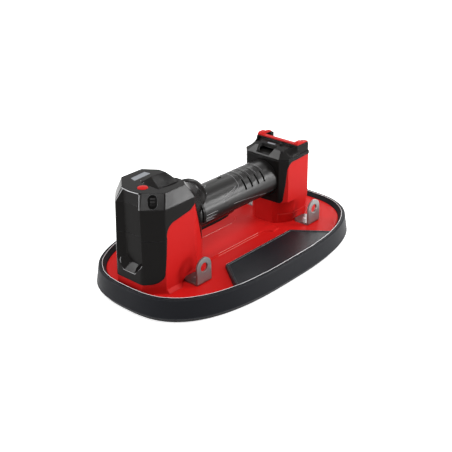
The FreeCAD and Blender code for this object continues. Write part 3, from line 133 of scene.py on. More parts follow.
# The thin lip of the cap over the channel.
LIP_FRONT = -130.6           # mm along X, where the bow starts
LIP_BOW = 1.5                # mm
LIP_HALF = 12.0              # mm, half the bow's width
LIP_SPAN = 11.4              # mm, half the lip's width
LIP_STEPS = 24
LIP_BACK = -0.1295           # m along X
LIP_SINK = 0.00004           # m, below the cap's top
LIP_THICK = 0.0012           # m, from the cap's top to the lip's underside in front
LIP_ROOT = 0.0018            # m, the same at the back
LIP_BEAD_SPAN = 11.0         # mm, half width of the bright line painted as the lip edge's highlight
LIP_BEAD_STEPS = 16
LIP_BEAD_DROP = 0.0005       # m, below the cap's top

# The exhaust port's oval and the charge lamps, in mm.
PORT_HALF_W = 4.2
PORT_HALF_H = 6.6
PORT_STEPS = 48
PORT_CLEAR = 20.0            # how far outside the port a ray starts
CAP_CORNER = (-24.0, -36.0, 0.0)    # from the port's middle to a place before the corner facet
CAP_DOTS = ((-110.0, 7.9), (-109.6, 5.1))
DOT_HALF = 0.3

# The plate and the panels, in mm: where each line runs along X, and how far it is from the middle.
DECK_LINES = ((-35.7, 26.3, 18.2), (-36.8, 24.6, 19.7))
DECK_STEPS = 12
PANEL_EDGE_X = 49.0
PANEL_STEPS = 24
PANEL_INSET = 0.6            # from the panel's inner edge
ABOVE_PLATE = 50.0           # heights that rays start from
ABOVE_CAP = 130.0

# The skirt's lip, in metres.
RIM_STEPS = 180              # bearings round the oval
RIM_REACH = 0.19             # from the middle, outside the skirt
RIM_BELOW = 0.004            # below the lip's top, where its outer edge is felt
RIM_ABOVE = 0.02
CREST_STEP = 0.0005          # inwards from the outer edge
CREST_STEPS = 24
CREST_FLAT = 0.98            # the upright part of the normal where the lip counts as level
CREST_TIE = 0.00001          # heights closer than this count as one

# Plain soft boxes: towards, distance, width, height, share of its lamp setting. Metres.
OVERHEAD_BOX = ((-0.20, -0.35, 1.0), 1.5, 1.3, 1.0, 0.85)
FAR_BOX = ((0.80, 0.42, 0.42), 1.4, 0.3, 0.5, 0.5)
LIT_MIDDLE = (0.0, 0.0, 0.05)
# Soft boxes that a facet mirrors to the camera: spot, the facet's normal, width, height, share. Metres.
GRIP_BOX = ((-0.010, -0.018, 0.078), (0.0, -0.875, 0.484), 0.14, 0.30, 0.37)
SIDE_STRIPS = {
    "near_strip": ((-0.085, -0.030, 0.110), (0.0, -0.961, 0.275), 0.15, 0.09, 1.15),
    "front_strip": ((-0.132, 0.0, 0.110), (-0.914, 0.0, 0.405), 0.14, 0.22, 1.3),
    "dock_strip": ((0.060, 0.0, 0.098), (-0.593, 0.0, 0.806), 0.16, 0.12, 1.1),
    "ramp_strip": ((-0.094, 0.005, 0.114), (-0.04, -0.82, 0.57), 0.08, 0.08, 0.35),
    "scoop_strip": ((-0.134, 0.0, 0.041), (-0.605, 0.0, 0.796), 0.08, 0.08, 0.7),
    "dock_side_box": ((0.067, -0.024, 0.098), (-0.10, -0.66, 0.74), 0.20, 0.20, 0.5),
    "corner_fill": ((-0.130, -0.017, 0.110), (-0.66, -0.60, 0.451), 0.10, 0.14, 0.6),
}
STRIP_DISTANCE = 1.2

FLOOR_REACH = 30.0
FLOOR_DROP = 0.0002
FLOOR_GLOW = 0.62            # brings the lit floor up to plain white where it is looked at

CAMERA_TURN = (-48.08, 24.52, -0.67)    # degrees of azimuth, elevation and roll
CAMERA_AIM = (-0.001, 0.001, 0.0601)
CAMERA_DISTANCE = 0.91058
CAMERA_SHIFT = (-0.0011, -0.0527)


# ---------------------------------------------------------------- settings

def colour_setting(name, description, default):
    """A colour that a user may change."""
    return bpy.props.FloatVectorProperty(name=name, description=description, subtype="COLOR", size=3,
                                         min=0.0, max=1.0, default=default)


def length_setting(name, description, default):
    """A length in metres that a user may change."""
    return bpy.props.FloatProperty(name=name, description=description, default=default, min=0.0,
                                   subtype="DISTANCE", unit="LENGTH")


class LifterColours(bpy.types.PropertyGroup):
    """Colours of the mouldings, rubber and metal."""
    housing_red: colour_setting("Housing red", "Glossy housings and base plate", (0.44, 0.0085, 0.0078))
    cover_black: colour_setting("Cover black", "Textured covers, caps and grip", (0.0070, 0.0064, 0.0061))
    skirt_rubber: colour_setting("Skirt rubber", "Skirt, side panels and seal", (0.0062, 0.0067, 0.0088))
    stainless: colour_setting("Stainless", "Lifting brackets", (0.25, 0.25, 0.248))
    lens_grey: colour_setting("Lens grey", "Display and status strip", (0.17, 0.18, 0.20))


class LifterSizes(bpy.types.PropertyGroup):
    """Sizes of what the finish adds."""
    edge_round: length_setting("Edge rounding", "Radius seen on moulded edges", 0.0007)
    metal_edge: length_setting("Metal edge", "Radius seen on sheet metal edges", 0.0003)
    grain: length_setting("Grain pitch", "Spacing of the moulded texture", 0.0007)
    line_bead: length_setting("Line bead", "Radius of the fine raised lines", 0.00022)


class StageSettings(bpy.types.PropertyGroup):
    """Lamps and floor."""
    key_power: bpy.props.FloatProperty(name="Key lamp", description="Power of the overhead soft box",
                                       default=15.0, min=0.0, unit="POWER")
    side_power: bpy.props.FloatProperty(name="Side lamp", description="Power of the side soft box",
                                        default=4.0, min=0.0, unit="POWER")
    ambient: bpy.props.FloatProperty(name="Ambient", description="Strength of the even light all round",
                                     default=0.20, min=0.0, max=2.0)
    focal: bpy.props.FloatProperty(name="Focal length", description="Lens of the camera", default=71.32,
                                   min=10.0, unit="CAMERA")


# ---------------------------------------------------------------- node helpers

def feed(tree, sockets, values):
    """Links each socket to the value's own socket, or sets it to a plain value."""
    for socket, value in zip(sockets, values):
        if isinstance(value, bpy.types.NodeSocket):
            tree.links.new(value, socket)
        else:
            socket.default_value = value


def add(tree, kind, inputs=None, **settings):
    """Adds a node, sets its properties and sets or links its inputs by name."""
    node = tree.nodes.new(kind)
    for name, value in settings.items():
        setattr(node, name, value)
    given = inputs or {}
    feed(tree, [node.inputs[name] for name in given], given.values())
    return node


def math_node(tree, operation, first, second):
    """Adds one arithmetic step on two values."""
    node = add(tree, "ShaderNodeMath", operation=operation)
    feed(tree, node.inputs, (first, second))
    return node.outputs[0]


def mix_colour(tree, factor, first, second):
    """Mixes two colours; the mix node's sockets for colours are 6 and 7, and its output for them is 2."""
    node = add(tree, "ShaderNodeMix", data_type="RGBA")
    feed(tree, (node.inputs[0], node.inputs[6], node.inputs[7]), (factor, first, second))
    return node.outputs[2]


def ramp(tree, value, stops):
    """Spreads a value from one range to another; stops are from, from, to, to."""
    node = add(tree, "ShaderNodeMapRange")
    feed(tree, node.inputs, (value, *stops))
    return node.outputs[0]


def rgba(colour, gain=1.0):
    """A colour with full alpha."""
    return (*[channel * gain for channel in colour], 1.0)


def new_group(name, inputs, outputs):
    """A shader node group; inputs and outputs are (name, socket kind, default)."""
    tree = bpy.data.node_groups.new(name, "ShaderNodeTree")
    for label, kind, default in inputs:
        socket = tree.interface.new_socket(label, in_out="INPUT", socket_type=kind)
        socket.default_value = default
    for label, kind in outputs:
        tree.interface.new_socket(label, in_out="OUTPUT", socket_type=kind)
    return tree, tree.nodes.new("NodeGroupInput"), tree.nodes.new("NodeGroupOutput")


def grain_group():
    """Spark-eroded mould texture: the height of fine pits and of a slower orange peel."""
    tree, given, out = new_group("Mould grain", [("Pitch", "NodeSocketFloat", 0.0007),
                                                 ("Peel", "NodeSocketFloat", 0.3)],
                                 [("Height", "NodeSocketFloat")])
    place = add(tree, "ShaderNodeTexCoord").outputs["Object"]
    scale = math_node(tree, "DIVIDE", 1.0, given.outputs["Pitch"])
    fine = add(tree, "ShaderNodeTexNoise", {"Vector": place, "Scale": scale, "Detail": 2.0})
    slow_scale = math_node(tree, "MULTIPLY", scale, 0.12)
    slow = add(tree, "ShaderNodeTexNoise", {"Vector": place, "Scale": slow_scale, "Detail": 1.0})
    peel = math_node(tree, "MULTIPLY", slow.outputs["Fac"], given.outputs["Peel"])
    height = math_node(tree, "ADD", fine.outputs["Fac"], peel)
    tree.links.new(height, out.inputs["Height"])
    return tree


def rub_and_highlight_group():
    """Where convex edges turn lighter, broken up by noise: partly wear from use, partly a painted highlight
    on the edge.
    """
    tree, given, out = new_group("Edge rub and highlight", [("Radius", "NodeSocketFloat", 0.0008),
                                              ("Amount", "NodeSocketFloat", 1.0)],
                                 [("Mask", "NodeSocketFloat")])
    soft = add(tree, "ShaderNodeBevel", {"Radius": given.outputs["Radius"]}, samples=6)
    true = add(tree, "ShaderNodeNewGeometry").outputs["Normal"]
    meet = add(tree, "ShaderNodeVectorMath", {0: soft.outputs["Normal"], 1: true}, operation="DOT_PRODUCT")
    edge = ramp(tree, meet.outputs["Value"], (0.995, 0.86, 0.0, 1.0))
    place = add(tree, "ShaderNodeTexCoord").outputs["Object"]
    breakup = add(tree, "ShaderNodeTexNoise", {"Vector": place, "Scale": 260.0, "Detail": 3.0})
    broken = ramp(tree, breakup.outputs["Fac"], (0.38, 0.62, 0.25, 1.0))
    mask = math_node(tree, "MULTIPLY", math_node(tree, "MULTIPLY", edge, broken), given.outputs["Amount"])
    tree.links.new(mask, out.inputs["Mask"])
    return tree


def handling_group():
    """Slow uneven tone of a surface that has been handled and dusted."""
    tree, given, out = new_group("Handling", [("Colour", "NodeSocketColor", (0.5, 0.5, 0.5, 1.0)),
                                              ("Shift", "NodeSocketFloat", 0.1),
                                              ("Roughness", "NodeSocketFloat", 0.4),
                                              ("Spread", "NodeSocketFloat", 0.08)],
                                 [("Colour", "NodeSocketColor"), ("Roughness", "NodeSocketFloat")])
    place = add(tree, "ShaderNodeTexCoord").outputs["Object"]
    cloud = add(tree, "ShaderNodeTexNoise", {"Vector": place, "Scale": 22.0, "Detail": 4.0})
    smear = add(tree, "ShaderNodeTexNoise", {"Vector": place, "Scale": 90.0, "Detail": 2.0})
    tone = math_node(tree, "SUBTRACT", cloud.outputs["Fac"], 0.5)
    gain = math_node(tree, "ADD", 1.0, math_node(tree, "MULTIPLY", tone, given.outputs["Shift"]))
    scaled = add(tree, "ShaderNodeVectorMath", {0: given.outputs["Colour"], "Scale": gain},
                 operation="SCALE")
    tree.links.new(scaled.outputs["Vector"], out.inputs["Colour"])
    swing = math_node(tree, "MULTIPLY", math_node(tree, "SUBTRACT", smear.outputs["Fac"], 0.5),
                      given.outputs["Spread"])
    tree.links.new(math_node(tree, "ADD", given.outputs["Roughness"], swing), out.inputs["Roughness"])
    return tree


# The rub group lightens convex edges: partly wear, partly a painted highlight.
GROUP_MAKERS = {"grain": grain_group, "rub": rub_and_highlight_group, "handling": handling_group}
GROUPS = {}


def group(tree, name, inputs):
    """Places one of the shared groups in a material."""
    if name not in GROUPS:
        GROUPS[name] = GROUP_MAKERS[name]()
    return add(tree, "ShaderNodeGroup", inputs, node_tree=GROUPS[name]).outputs


def new_material(name):
    """A material with its node tree and its shader."""
    material = bpy.data.materials.new(name)
    material.use_nodes = True
    shader = material.node_tree.nodes["Principled BSDF"]
    return material, material.node_tree, shader


def round_edges(tree, shader, radius, height, depth):
    """Feeds the shader's normal with a fine relief over edges that look rounded."""
    rounded = add(tree, "ShaderNodeBevel", {"Radius": radius}, samples=6)
    bump = add(tree, "ShaderNodeBump", {"Height": height, "Distance": depth, "Strength": 1.0,
                                        "Normal": rounded.outputs["Normal"]})
    tree.links.new(bump.outputs["Normal"], shader.inputs["Normal"])


def moulding(name, colour, roughness, grain, depth, peel=0.3, shift=0.1, spread=0.08,
             rub_and_highlight_colour=None, rub=0.5, radius=0.0007, specular=0.5):
    """A moulded plastic or rubber surface.

    grain and depth are the texture's spacing and height, peel its slow waviness, shift and spread the
    unevenness of colour and gloss, rub how far convex edges show the lighter rub colour, which is partly
    wear and partly a painted highlight, and radius how round they look.
    """
    material, tree, shader = new_material(name)
    base = group(tree, "handling", {"Colour": rgba(colour), "Shift": shift, "Roughness": roughness,
                                    "Spread": spread})
    surface = base["Colour"]
    # Convex edges take a lighter colour: partly wear, partly a painted highlight.
    if rub_and_highlight_colour:
        mask = group(tree, "rub", {"Radius": radius * 1.3, "Amount": rub})["Mask"]
        surface = mix_colour(tree, mask, surface, rgba(rub_and_highlight_colour))
    tree.links.new(surface, shader.inputs["Base Color"])
    tree.links.new(base["Roughness"], shader.inputs["Roughness"])
    height = group(tree, "grain", {"Pitch": grain, "Peel": peel})["Height"]
    round_edges(tree, shader, radius, height, depth)
    shader.inputs["Specular IOR Level"].default_value = specular
    return material


def fine_line(name, colour, grain):
    """The plain finish of the thin beads; on edge lines their light colours paint highlights."""
    return moulding(name, colour, 0.3, grain, depth=0.000004, peel=0.2, spread=0.05, radius=0.0001)


def brushed_metal(name, colour, roughness, along, scale, radius):
    """Sheet or turned metal with fine drawn lines.

    along is how much closer the lines lie along Z than across it, and scale how fine they are.
    """
    material, tree, shader = new_material(name)
    place = add(tree, "ShaderNodeTexCoord").outputs["Object"]
    stretch = add(tree, "ShaderNodeMapping", {"Vector": place, "Scale": (1.0, 1.0, along)})
    lines = add(tree, "ShaderNodeTexNoise", {"Vector": stretch.outputs["Vector"], "Scale": scale,
                                             "Detail": 3.0})
    cloud = add(tree, "ShaderNodeTexNoise", {"Vector": place, "Scale": 60.0, "Detail": 2.0})
    tone = math_node(tree, "ADD", math_node(tree, "MULTIPLY", lines.outputs["Fac"], 0.6),
                     math_node(tree, "MULTIPLY", cloud.outputs["Fac"], 0.4))
    surface = mix_colour(tree, ramp(tree, tone, (0.3, 0.7, 0.0, 1.0)), rgba(colour, 0.9), rgba(colour, 1.05))
    tree.links.new(surface, shader.inputs["Base Color"])
    shader.inputs["Metallic"].default_value = 1.0
    gloss = ramp(tree, tone, (0.2, 0.8, roughness - 0.07, roughness + 0.07))
    tree.links.new(gloss, shader.inputs["Roughness"])
    round_edges(tree, shader, radius, lines.outputs["Fac"], 0.00001)
    return material


# ---------------------------------------------------------------- finishes

def make_finishes():
    """All materials, by the record's slot names, plus those of single nodes and of the added pieces."""
    colours = bpy.context.scene.lifter_colours
    sizes = bpy.context.scene.lifter_sizes
    red = tuple(colours.housing_red)
    black = tuple(colours.cover_black)
    rubber = tuple(colours.skirt_rubber)
    r = sizes.edge_round
    g = sizes.grain
    # Lighter colours of the convex edges, here and in the table below: partly wear, partly a painted
    # highlight.
    worn_and_lit_red = (0.70, 0.06, 0.05)
    worn_and_lit_black = (0.05, 0.05, 0.052)
    shell_red = dict(roughness=0.45, grain=g, depth=0.000012, peel=0.8, shift=0.08, spread=0.1,
                     rub_and_highlight_colour=worn_and_lit_red, rub=0.35, radius=r)
    shell_black = dict(roughness=0.24, grain=g, depth=0.000012, peel=0.2, shift=0.18, spread=0.08,
                       rub_and_highlight_colour=worn_and_lit_black, rub=0.5, radius=r)
    mouldings = {
        "red_plastic": dict(shell_red, colour=red, specular=0.07),
        # The housings' red made lighter: painted light on the base plate's top.
        "painted_lit_red": dict(shell_red, colour=[1.2 * c for c in red], specular=0.06),
        "red_button": dict(colour=red, roughness=0.3, grain=g, depth=0.00001, peel=0.4, shift=0.06,
                           spread=0.06, rub_and_highlight_colour=worn_and_lit_red, rub=0.3, radius=r, specular=0.06),
        "black_plastic": dict(shell_black, colour=black, specular=0.05),
        "cap_black": dict(shell_black, colour=black, specular=0.065),
        # Darker than the covers' black: painted shade inside the exhaust port and the thumb hole.
        "port_shade_black": dict(colour=[0.4 * c for c in black], roughness=0.5, grain=g, depth=0.000012,
                           peel=0.2, shift=0.18, spread=0.08, radius=0.0003, specular=0.04),
        "grip_soft": dict(colour=black, roughness=0.31, grain=g, depth=0.000012, peel=0.2, shift=0.2,
                          spread=0.1, rub_and_highlight_colour=(0.1, 0.1, 0.1), rub=0.4, radius=r, specular=0.22),
        "dark_plastic": dict(colour=(0.02, 0.02, 0.021), roughness=0.5, grain=g, depth=0.00002, shift=0.2,
                             spread=0.1, rub_and_highlight_colour=(0.09, 0.09, 0.09), rub=0.4, radius=r),
        "skirt_rubber": dict(colour=rubber, roughness=0.46, grain=g * 1.6, depth=0.00002, peel=0.5,
                             shift=0.25, spread=0.12, rub_and_highlight_colour=(0.10, 0.105, 0.115), rub=0.5,
                             radius=r * 1.3, specular=0.08),
        "panel_rubber": dict(colour=rubber, roughness=0.42, grain=g, depth=0.00002, shift=0.2, spread=0.12,
                             rub_and_highlight_colour=(0.11, 0.115, 0.125), rub=0.6, radius=r, specular=0.24),
        "seal_foam": dict(colour=(0.016, 0.016, 0.017), roughness=0.85, grain=0.0011, depth=0.00012,
                          peel=0.6, shift=0.35, spread=0.1),
        "diaphragm_rubber": dict(colour=(0.02, 0.02, 0.02), roughness=0.6, grain=g, depth=0.00002),
        "hose_clear": dict(colour=(0.55, 0.55, 0.52), roughness=0.35, grain=g, depth=0.00001),
        "filter_felt": dict(colour=(0.6, 0.6, 0.56), roughness=0.9, grain=0.0005, depth=0.0001, peel=0.5,
                            shift=0.3),
        "wire_cover": dict(colour=(0.42, 0.02, 0.02), roughness=0.4, grain=g, depth=0.00001),
        "board_green": dict(colour=(0.02, 0.16, 0.07), roughness=0.35, grain=0.0012, depth=0.00002),
        "chip_black": dict(colour=(0.02, 0.02, 0.02), roughness=0.45, grain=g, depth=0.00002),
        "magnet_ferrite": dict(colour=(0.06, 0.06, 0.065), roughness=0.6, grain=g, depth=0.00003),
        "display_lens": dict(colour=colours.lens_grey, roughness=0.22, grain=g, depth=0.000004,
                             spread=0.05, radius=0.0004),
    }
    # Bead colours, lighter than the surfaces under them: on edge lines they paint highlights, the dim one a
    # faint highlight.
    lines = {
        "grey_highlight": (0.16, 0.16, 0.165),
        "line_bright": (0.34, 0.34, 0.35),
        "dim_highlight": (0.05, 0.05, 0.052),
        "rubber_highlight": (0.75, 0.75, 0.76),
        "rose_highlight": (0.62, 0.16, 0.13),
    }
    metals = {
        "stainless": dict(colour=colours.stainless, roughness=0.42, along=24.0, scale=90.0),
        "screw_steel": dict(colour=(0.5, 0.5, 0.52), roughness=0.35, along=1.0, scale=400.0),
        "spring_steel": dict(colour=(0.5, 0.5, 0.52), roughness=0.3, along=6.0, scale=300.0),
        "motor_steel": dict(colour=(0.45, 0.45, 0.46), roughness=0.38, along=12.0, scale=150.0),
        "rotor_steel": dict(colour=(0.35, 0.35, 0.36), roughness=0.4, along=60.0, scale=80.0),
        "copper_wire": dict(colour=(0.62, 0.26, 0.12), roughness=0.35, along=60.0, scale=60.0),
        "brass_parts": dict(colour=(0.68, 0.5, 0.22), roughness=0.3, along=20.0, scale=150.0),
    }
    finishes = {name: moulding(name, **settings) for name, settings in mouldings.items()}
    for name, colour in lines.items():
        finishes[name] = fine_line(name, colour, g)
    for name, settings in metals.items():
        finishes[name] = brushed_metal(name, **settings, radius=sizes.metal_edge)
    return finishes


def dress(node_name, material):
    """Gives a CAD node its finish."""
    mesh = NODES[node_name].data
    mesh.materials.clear()
    mesh.materials.append(material)


FINISHES = {}


class LIFTER_OT_finishes(bpy.types.Operator):
    """Makes the materials and gives each solid its finish"""
    bl_idname = "lifter.finishes"
    bl_label = "Finishes"

    def execute(self, context):
        FINISHES.update(make_finishes())
        for part in frame["record"]["subparts"]:
            dress(part["node"], FINISHES[NODE_FINISH.get(part["node"], part["material_slot"])])
        return {"FINISHED"}


# ---------------------------------------------------------------- mesh helpers

def finish_mesh(name, mesh, finish, body="lifter"):
    """Links a finished mesh as a piece, and ties it to its body."""
    mesh.materials.clear()
    mesh.materials.append(FINISHES[finish])
    piece = bpy.data.objects.new(name, mesh)
    bpy.context.scene.collection.objects.link(piece)
    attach(piece, body)
    return piece


def carry(name, mesh):
    """Links a mesh as a throwaway object, for its modifiers' work alone."""
    carrier = bpy.data.objects.new(name, mesh)
    bpy.context.scene.collection.objects.link(carrier)
    return carrier


def take_mesh(carrier):
    """The plain mesh that a throwaway object's modifiers make; the object goes."""
    graph = bpy.context.evaluated_depsgraph_get()
    solid = bpy.data.meshes.new_from_object(carrier.evaluated_get(graph))
    carrier.modifiers.clear()
    bpy.data.objects.remove(carrier)
    return solid


def bead_tree(name, finish):
    """Lays a thin round bead along the edges of its input mesh; the bead's radius is an input."""
    tree = bpy.data.node_groups.new(name, "GeometryNodeTree")
    tree.interface.new_socket("Geometry", in_out="INPUT", socket_type="NodeSocketGeometry")
    radius = tree.interface.new_socket("Radius", in_out="INPUT", socket_type="NodeSocketFloat")
    radius.default_value = 0.0002
    tree.interface.new_socket("Geometry", in_out="OUTPUT", socket_type="NodeSocketGeometry")
    given = tree.nodes.new("NodeGroupInput")
    out = tree.nodes.new("NodeGroupOutput")
    path = add(tree, "GeometryNodeMeshToCurve", {"Mesh": given.outputs["Geometry"]})
    ring = add(tree, "GeometryNodeCurvePrimitiveCircle", {"Resolution": BEAD_SIDES,
                                                          "Radius": given.outputs["Radius"]})
    tube = add(tree, "GeometryNodeCurveToMesh", {"Curve": path.outputs["Curve"],
                                                 "Profile Curve": ring.outputs["Curve"], "Fill Caps": True})
    solid = add(tree, "GeometryNodeRealizeInstances", {"Geometry": tube.outputs["Mesh"]})
    finished = add(tree, "GeometryNodeSetMaterial", {"Geometry": solid.outputs["Geometry"],
                                                     "Material": FINISHES[finish]})
    tree.links.new(finished.outputs["Geometry"], out.inputs["Geometry"])
    return tree, radius.identifier


def lay_beads(name, paths):
    """Makes one piece of round beads along runs of points; a run that ends where it starts is closed."""
    gauge, finish, slot = BEADS[name]
    points = []
    edges = []
    for path in paths:
        start = len(points)
        closed = (Vector(path[0]) - Vector(path[-1])).length < TINY
        run = path[:-1] if closed else path
        points += [tuple(point) for point in run]
        edges += [(start + i, start + i + 1) for i in range(len(run) - 1)]
        if closed:
            edges.append((start + len(run) - 1, start))
    mesh = bpy.data.meshes.new(name + "_paths")
    mesh.from_pydata(points, edges, [])
    carrier = carry(name + "_paths", mesh)
    tree, socket = bead_tree(name, finish)
    modifier = carrier.modifiers.new("beads", "NODES")
    modifier.node_group = tree
    modifier[socket] = bpy.context.scene.lifter_sizes.line_bead * gauge
    solid = take_mesh(carrier)
    for polygon in solid.polygons:
        polygon.use_smooth = len(polygon.vertices) == 4
    finish_mesh(name, solid, finish)


TREES = {}


def meets(nodes, start, direction):
    """The first point where a ray meets any of the named nodes, and the normal there."""
    found = None
    for name in nodes:
        if name not in TREES:
            mesh = NODES[name].data
            TREES[name] = BVHTree.FromPolygons([v.co for v in mesh.vertices],
                                               [tuple(p.vertices) for p in mesh.polygons])
        place, normal, _, distance = TREES[name].ray_cast(Vector(start), Vector(direction).normalized())
        if place is not None and (found is None or distance < found[2]):
            found = (place, normal, distance)
    if found is None:
        raise RuntimeError("no surface of " + ", ".join(nodes) + " from " + str(tuple(start)))
    return found[0], found[1]


def first_meet(nodes, start, direction):
    """The first point alone where a ray meets any of the named nodes."""
    return meets(nodes, start, direction)[0]


def steps_between(first, last, count):
    """Evenly spaced numbers from first to last, with both ends."""
    return [first + (last - first) * i / count for i in range(count + 1)]


# ---------------------------------------------------------------- shells and springs

def smooth_shell(node_name, ending="_shell"):
    """A copy of a solid with evenly shaded curves and crisp creases, standing for it."""
    part = next(part for part in frame["record"]["subparts"] if part["node"] == node_name)
    shell = bmesh.new()
    shell.from_mesh(NODES[node_name].data)
    bmesh.ops.remove_doubles(shell, verts=shell.verts, dist=MERGE_GAP)
    for edge in shell.edges:
        edge.smooth = len(edge.link_faces) == 2 and edge.calc_face_angle(0.0) < CREASE
    for face in shell.faces:
        face.smooth = True
    mesh = bpy.data.meshes.new(node_name + ending)
    shell.to_mesh(mesh)
    shell.free()
    carrier = carry(node_name + "_carrier", mesh)
    even = carrier.modifiers.new("even shading", "WEIGHTED_NORMAL")
    even.keep_sharp = True
    body = "button" if node_name == "power_button" else "lifter"
    slot = part["material_slot"]
    piece = finish_mesh(node_name + ending, take_mesh(carrier), NODE_FINISH.get(node_name, slot), body)
    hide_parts(node_name)
    return piece


def live_spring(node_name):
    """An evenly shaded copy of a coil spring, with a mesh of its own, standing for it."""
    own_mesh(smooth_shell(node_name, "_coil"))


class LIFTER_OT_shells(bpy.types.Operator):
    """Gives the outer mouldings evenly shaded curves and crisp creases"""
    bl_idname = "lifter.shells"
    bl_label = "Shells"

    def execute(self, context):
        for node_name in SMOOTHED:
            smooth_shell(node_name)
        return {"FINISHED"}


class LIFTER_OT_springs(bpy.types.Operator):
    """Gives the two return springs evenly shaded copies, each with a mesh of its own"""
    bl_idname = "lifter.springs"
    bl_label = "Springs"

    def execute(self, context):
        live_spring("button_spring")
        live_spring("valve_spring")
        return {"FINISHED"}


# ---------------------------------------------------------------- fittings

def grip_axis_height():
    """Height of the grip's axis, in metres."""
    low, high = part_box("grip_upper")
    return high[2] - (high[1] - low[1]) * 0.5


def grip_point(x, angle, lift=0.0):
    """A point on the grip by its station in mm and its degrees from the top, near side negative."""
    turn = math.radians(angle)
    out = Vector((0.0, math.sin(turn), math.cos(turn)))
    start = Vector((x * MM, 0.0, grip_axis_height())) + out * GRIP_CLEAR
    return first_meet(("grip_upper", "grip_lower"), start, -out) + out * lift


def round_grip(stations, steps=5):
    """Carries a run of stations along both flanks of the grip, the near side first."""
    runs = []
    for side in (-1, 1):
        run = []
        for (x0, a0), (x1, a1) in zip(stations, stations[1:]):
            for step in range(steps):
                t = step / steps
                run.append((x0 + (x1 - x0) * t, side * (a0 + (a1 - a0) * t)))
        run.append((stations[-1][0], side * stations[-1][1]))
        runs.append([grip_point(x, angle, BEAD_LIFT) for x, angle in run])
    return runs


def over_grip(stations):
    """Carries a run of stations that starts on the top over both flanks, as one run."""
    near, far = round_grip(stations, steps=2)
    return list(reversed(near)) + far[1:]


class LIFTER_OT_grip_lines(bpy.types.Operator):
    """Lays grey beads as painted highlights on the soft pad's raised edges, the hoops over the finger slots,
    the side bars and a seam, and a dark mark painted as the thumb hole's shade
    """
    bl_idname = "lifter.grip_lines"
    bl_label = "Grip lines"

    def execute(self, context):
        lay_beads("grip_hoops", [[grip_point(x, angle) for angle in HOOP_TURNS] for x in GRIP_HOOPS])
        lay_beads("pad_edges", [over_grip(PAD_EDGE)] + round_grip(PAD_EDGE_INNER))
        lay_beads("pad_end", [over_grip(PAD_END)])
        lay_beads("grip_bars", [run for bar in SIDE_BARS for run in round_grip(bar)])
        # A dark sunk bead: painted shade of the thumb hole.
        lay_beads("thumb_hole_shade", [[grip_point(x, angle, THUMB_SINK) for x, angle in THUMB_HOLE_SHADE]])
        lay_beads("grip_seam_glint", round_grip(SEAM_GLINT))
        return {"FINISHED"}


def cover_point(y, z):
    """The front of the pump tower at a width and a height in mm."""
    start = (TOWER_CLEAR * MM, y * MM, z * MM)
    return first_meet(("pump_cap", "front_cover_upper", "front_cover_lower"), start, (1.0, 0.0, 0.0))


def mouth_edge(z, side):
    """The channel's edge at a height: where its sloping wall comes out through the tower's front."""
    half = MOUTH_HALF
    for _ in range(MOUTH_ROUNDS):
        front = cover_point(side * (half + BESIDE_MOUTH), z).x / MM
        half = CHANNEL_HALF + CHANNEL_SPREAD * (CHANNEL_FLOOR - front)
    return cover_point(side * (half + ON_MOUTH), z)


def lip_edge(y):
    """The bowed front edge of the cap where it stands over the channel."""
    bow = 1.0 - (y / LIP_HALF) ** 2
    return Vector((LIP_FRONT - LIP_BOW * bow, y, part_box("pump_cap")[1][2] / MM)) * MM


def cap_lip():
    """The thin lip of the cap over the top of the channel."""
    shell = bmesh.new()
    rings = []
    for y in steps_between(-LIP_SPAN, LIP_SPAN, LIP_STEPS):
        edge = lip_edge(y)
        back = Vector((LIP_BACK, edge.y, edge.z))
        corners = ((back, LIP_SINK), (edge, LIP_SINK), (edge, LIP_THICK), (back, LIP_ROOT))
        rings.append([shell.verts.new(corner - Vector((0, 0, drop))) for corner, drop in corners])
    for left, right in zip(rings, rings[1:]):
        for i in range(4):
            shell.faces.new((left[i], left[(i + 1) % 4], right[(i + 1) % 4], right[i]))
    shell.faces.new(rings[0])
    shell.faces.new(list(reversed(rings[-1])))
    bmesh.ops.recalc_face_normals(shell, faces=shell.faces)
    mesh = bpy.data.meshes.new("cap_lip")
    shell.to_mesh(mesh)
    shell.free()
    finish_mesh("cap_lip", mesh, "black_plastic")


class LIFTER_OT_channel_trim(bpy.types.Operator):
    """Puts the lip over the front channel, and bright beads painted as highlights on the edges round its top
    and its scooped end
    """
    bl_idname = "lifter.channel_trim"
    bl_label = "Channel trim"

    def execute(self, context):
        cap_lip()
        heights = steps_between(TRIM_LOW, TRIM_LOW + TRIM_RISE, TRIM_STEPS)
        left = [mouth_edge(z, 1) for z in heights]
        right = [mouth_edge(z, -1) for z in reversed(heights)]
        lip = [lip_edge(y) - Vector((0, 0, LIP_BEAD_DROP))
               for y in steps_between(LIP_BEAD_SPAN, -LIP_BEAD_SPAN, LIP_BEAD_STEPS)]
        # Bright beads painted as the highlights of the cap's lip, the channel's edges and the scoop's edges.
        lay_beads("channel_lip", [lip])
        lay_beads("channel_sides", [left, right])
        scoop = [cover_point(y, z) for y, z in SCOOP_CORNERS]
        inner = [cover_point(side * SCOOP_FLOOR[0], SCOOP_FLOOR[1]) for side in (1, -1)]
        lay_beads("scoop_edges", [scoop])
        lay_beads("scoop_ribs", [[scoop[2], inner[0]], [scoop[3], inner[1]]])
        return {"FINISHED"}


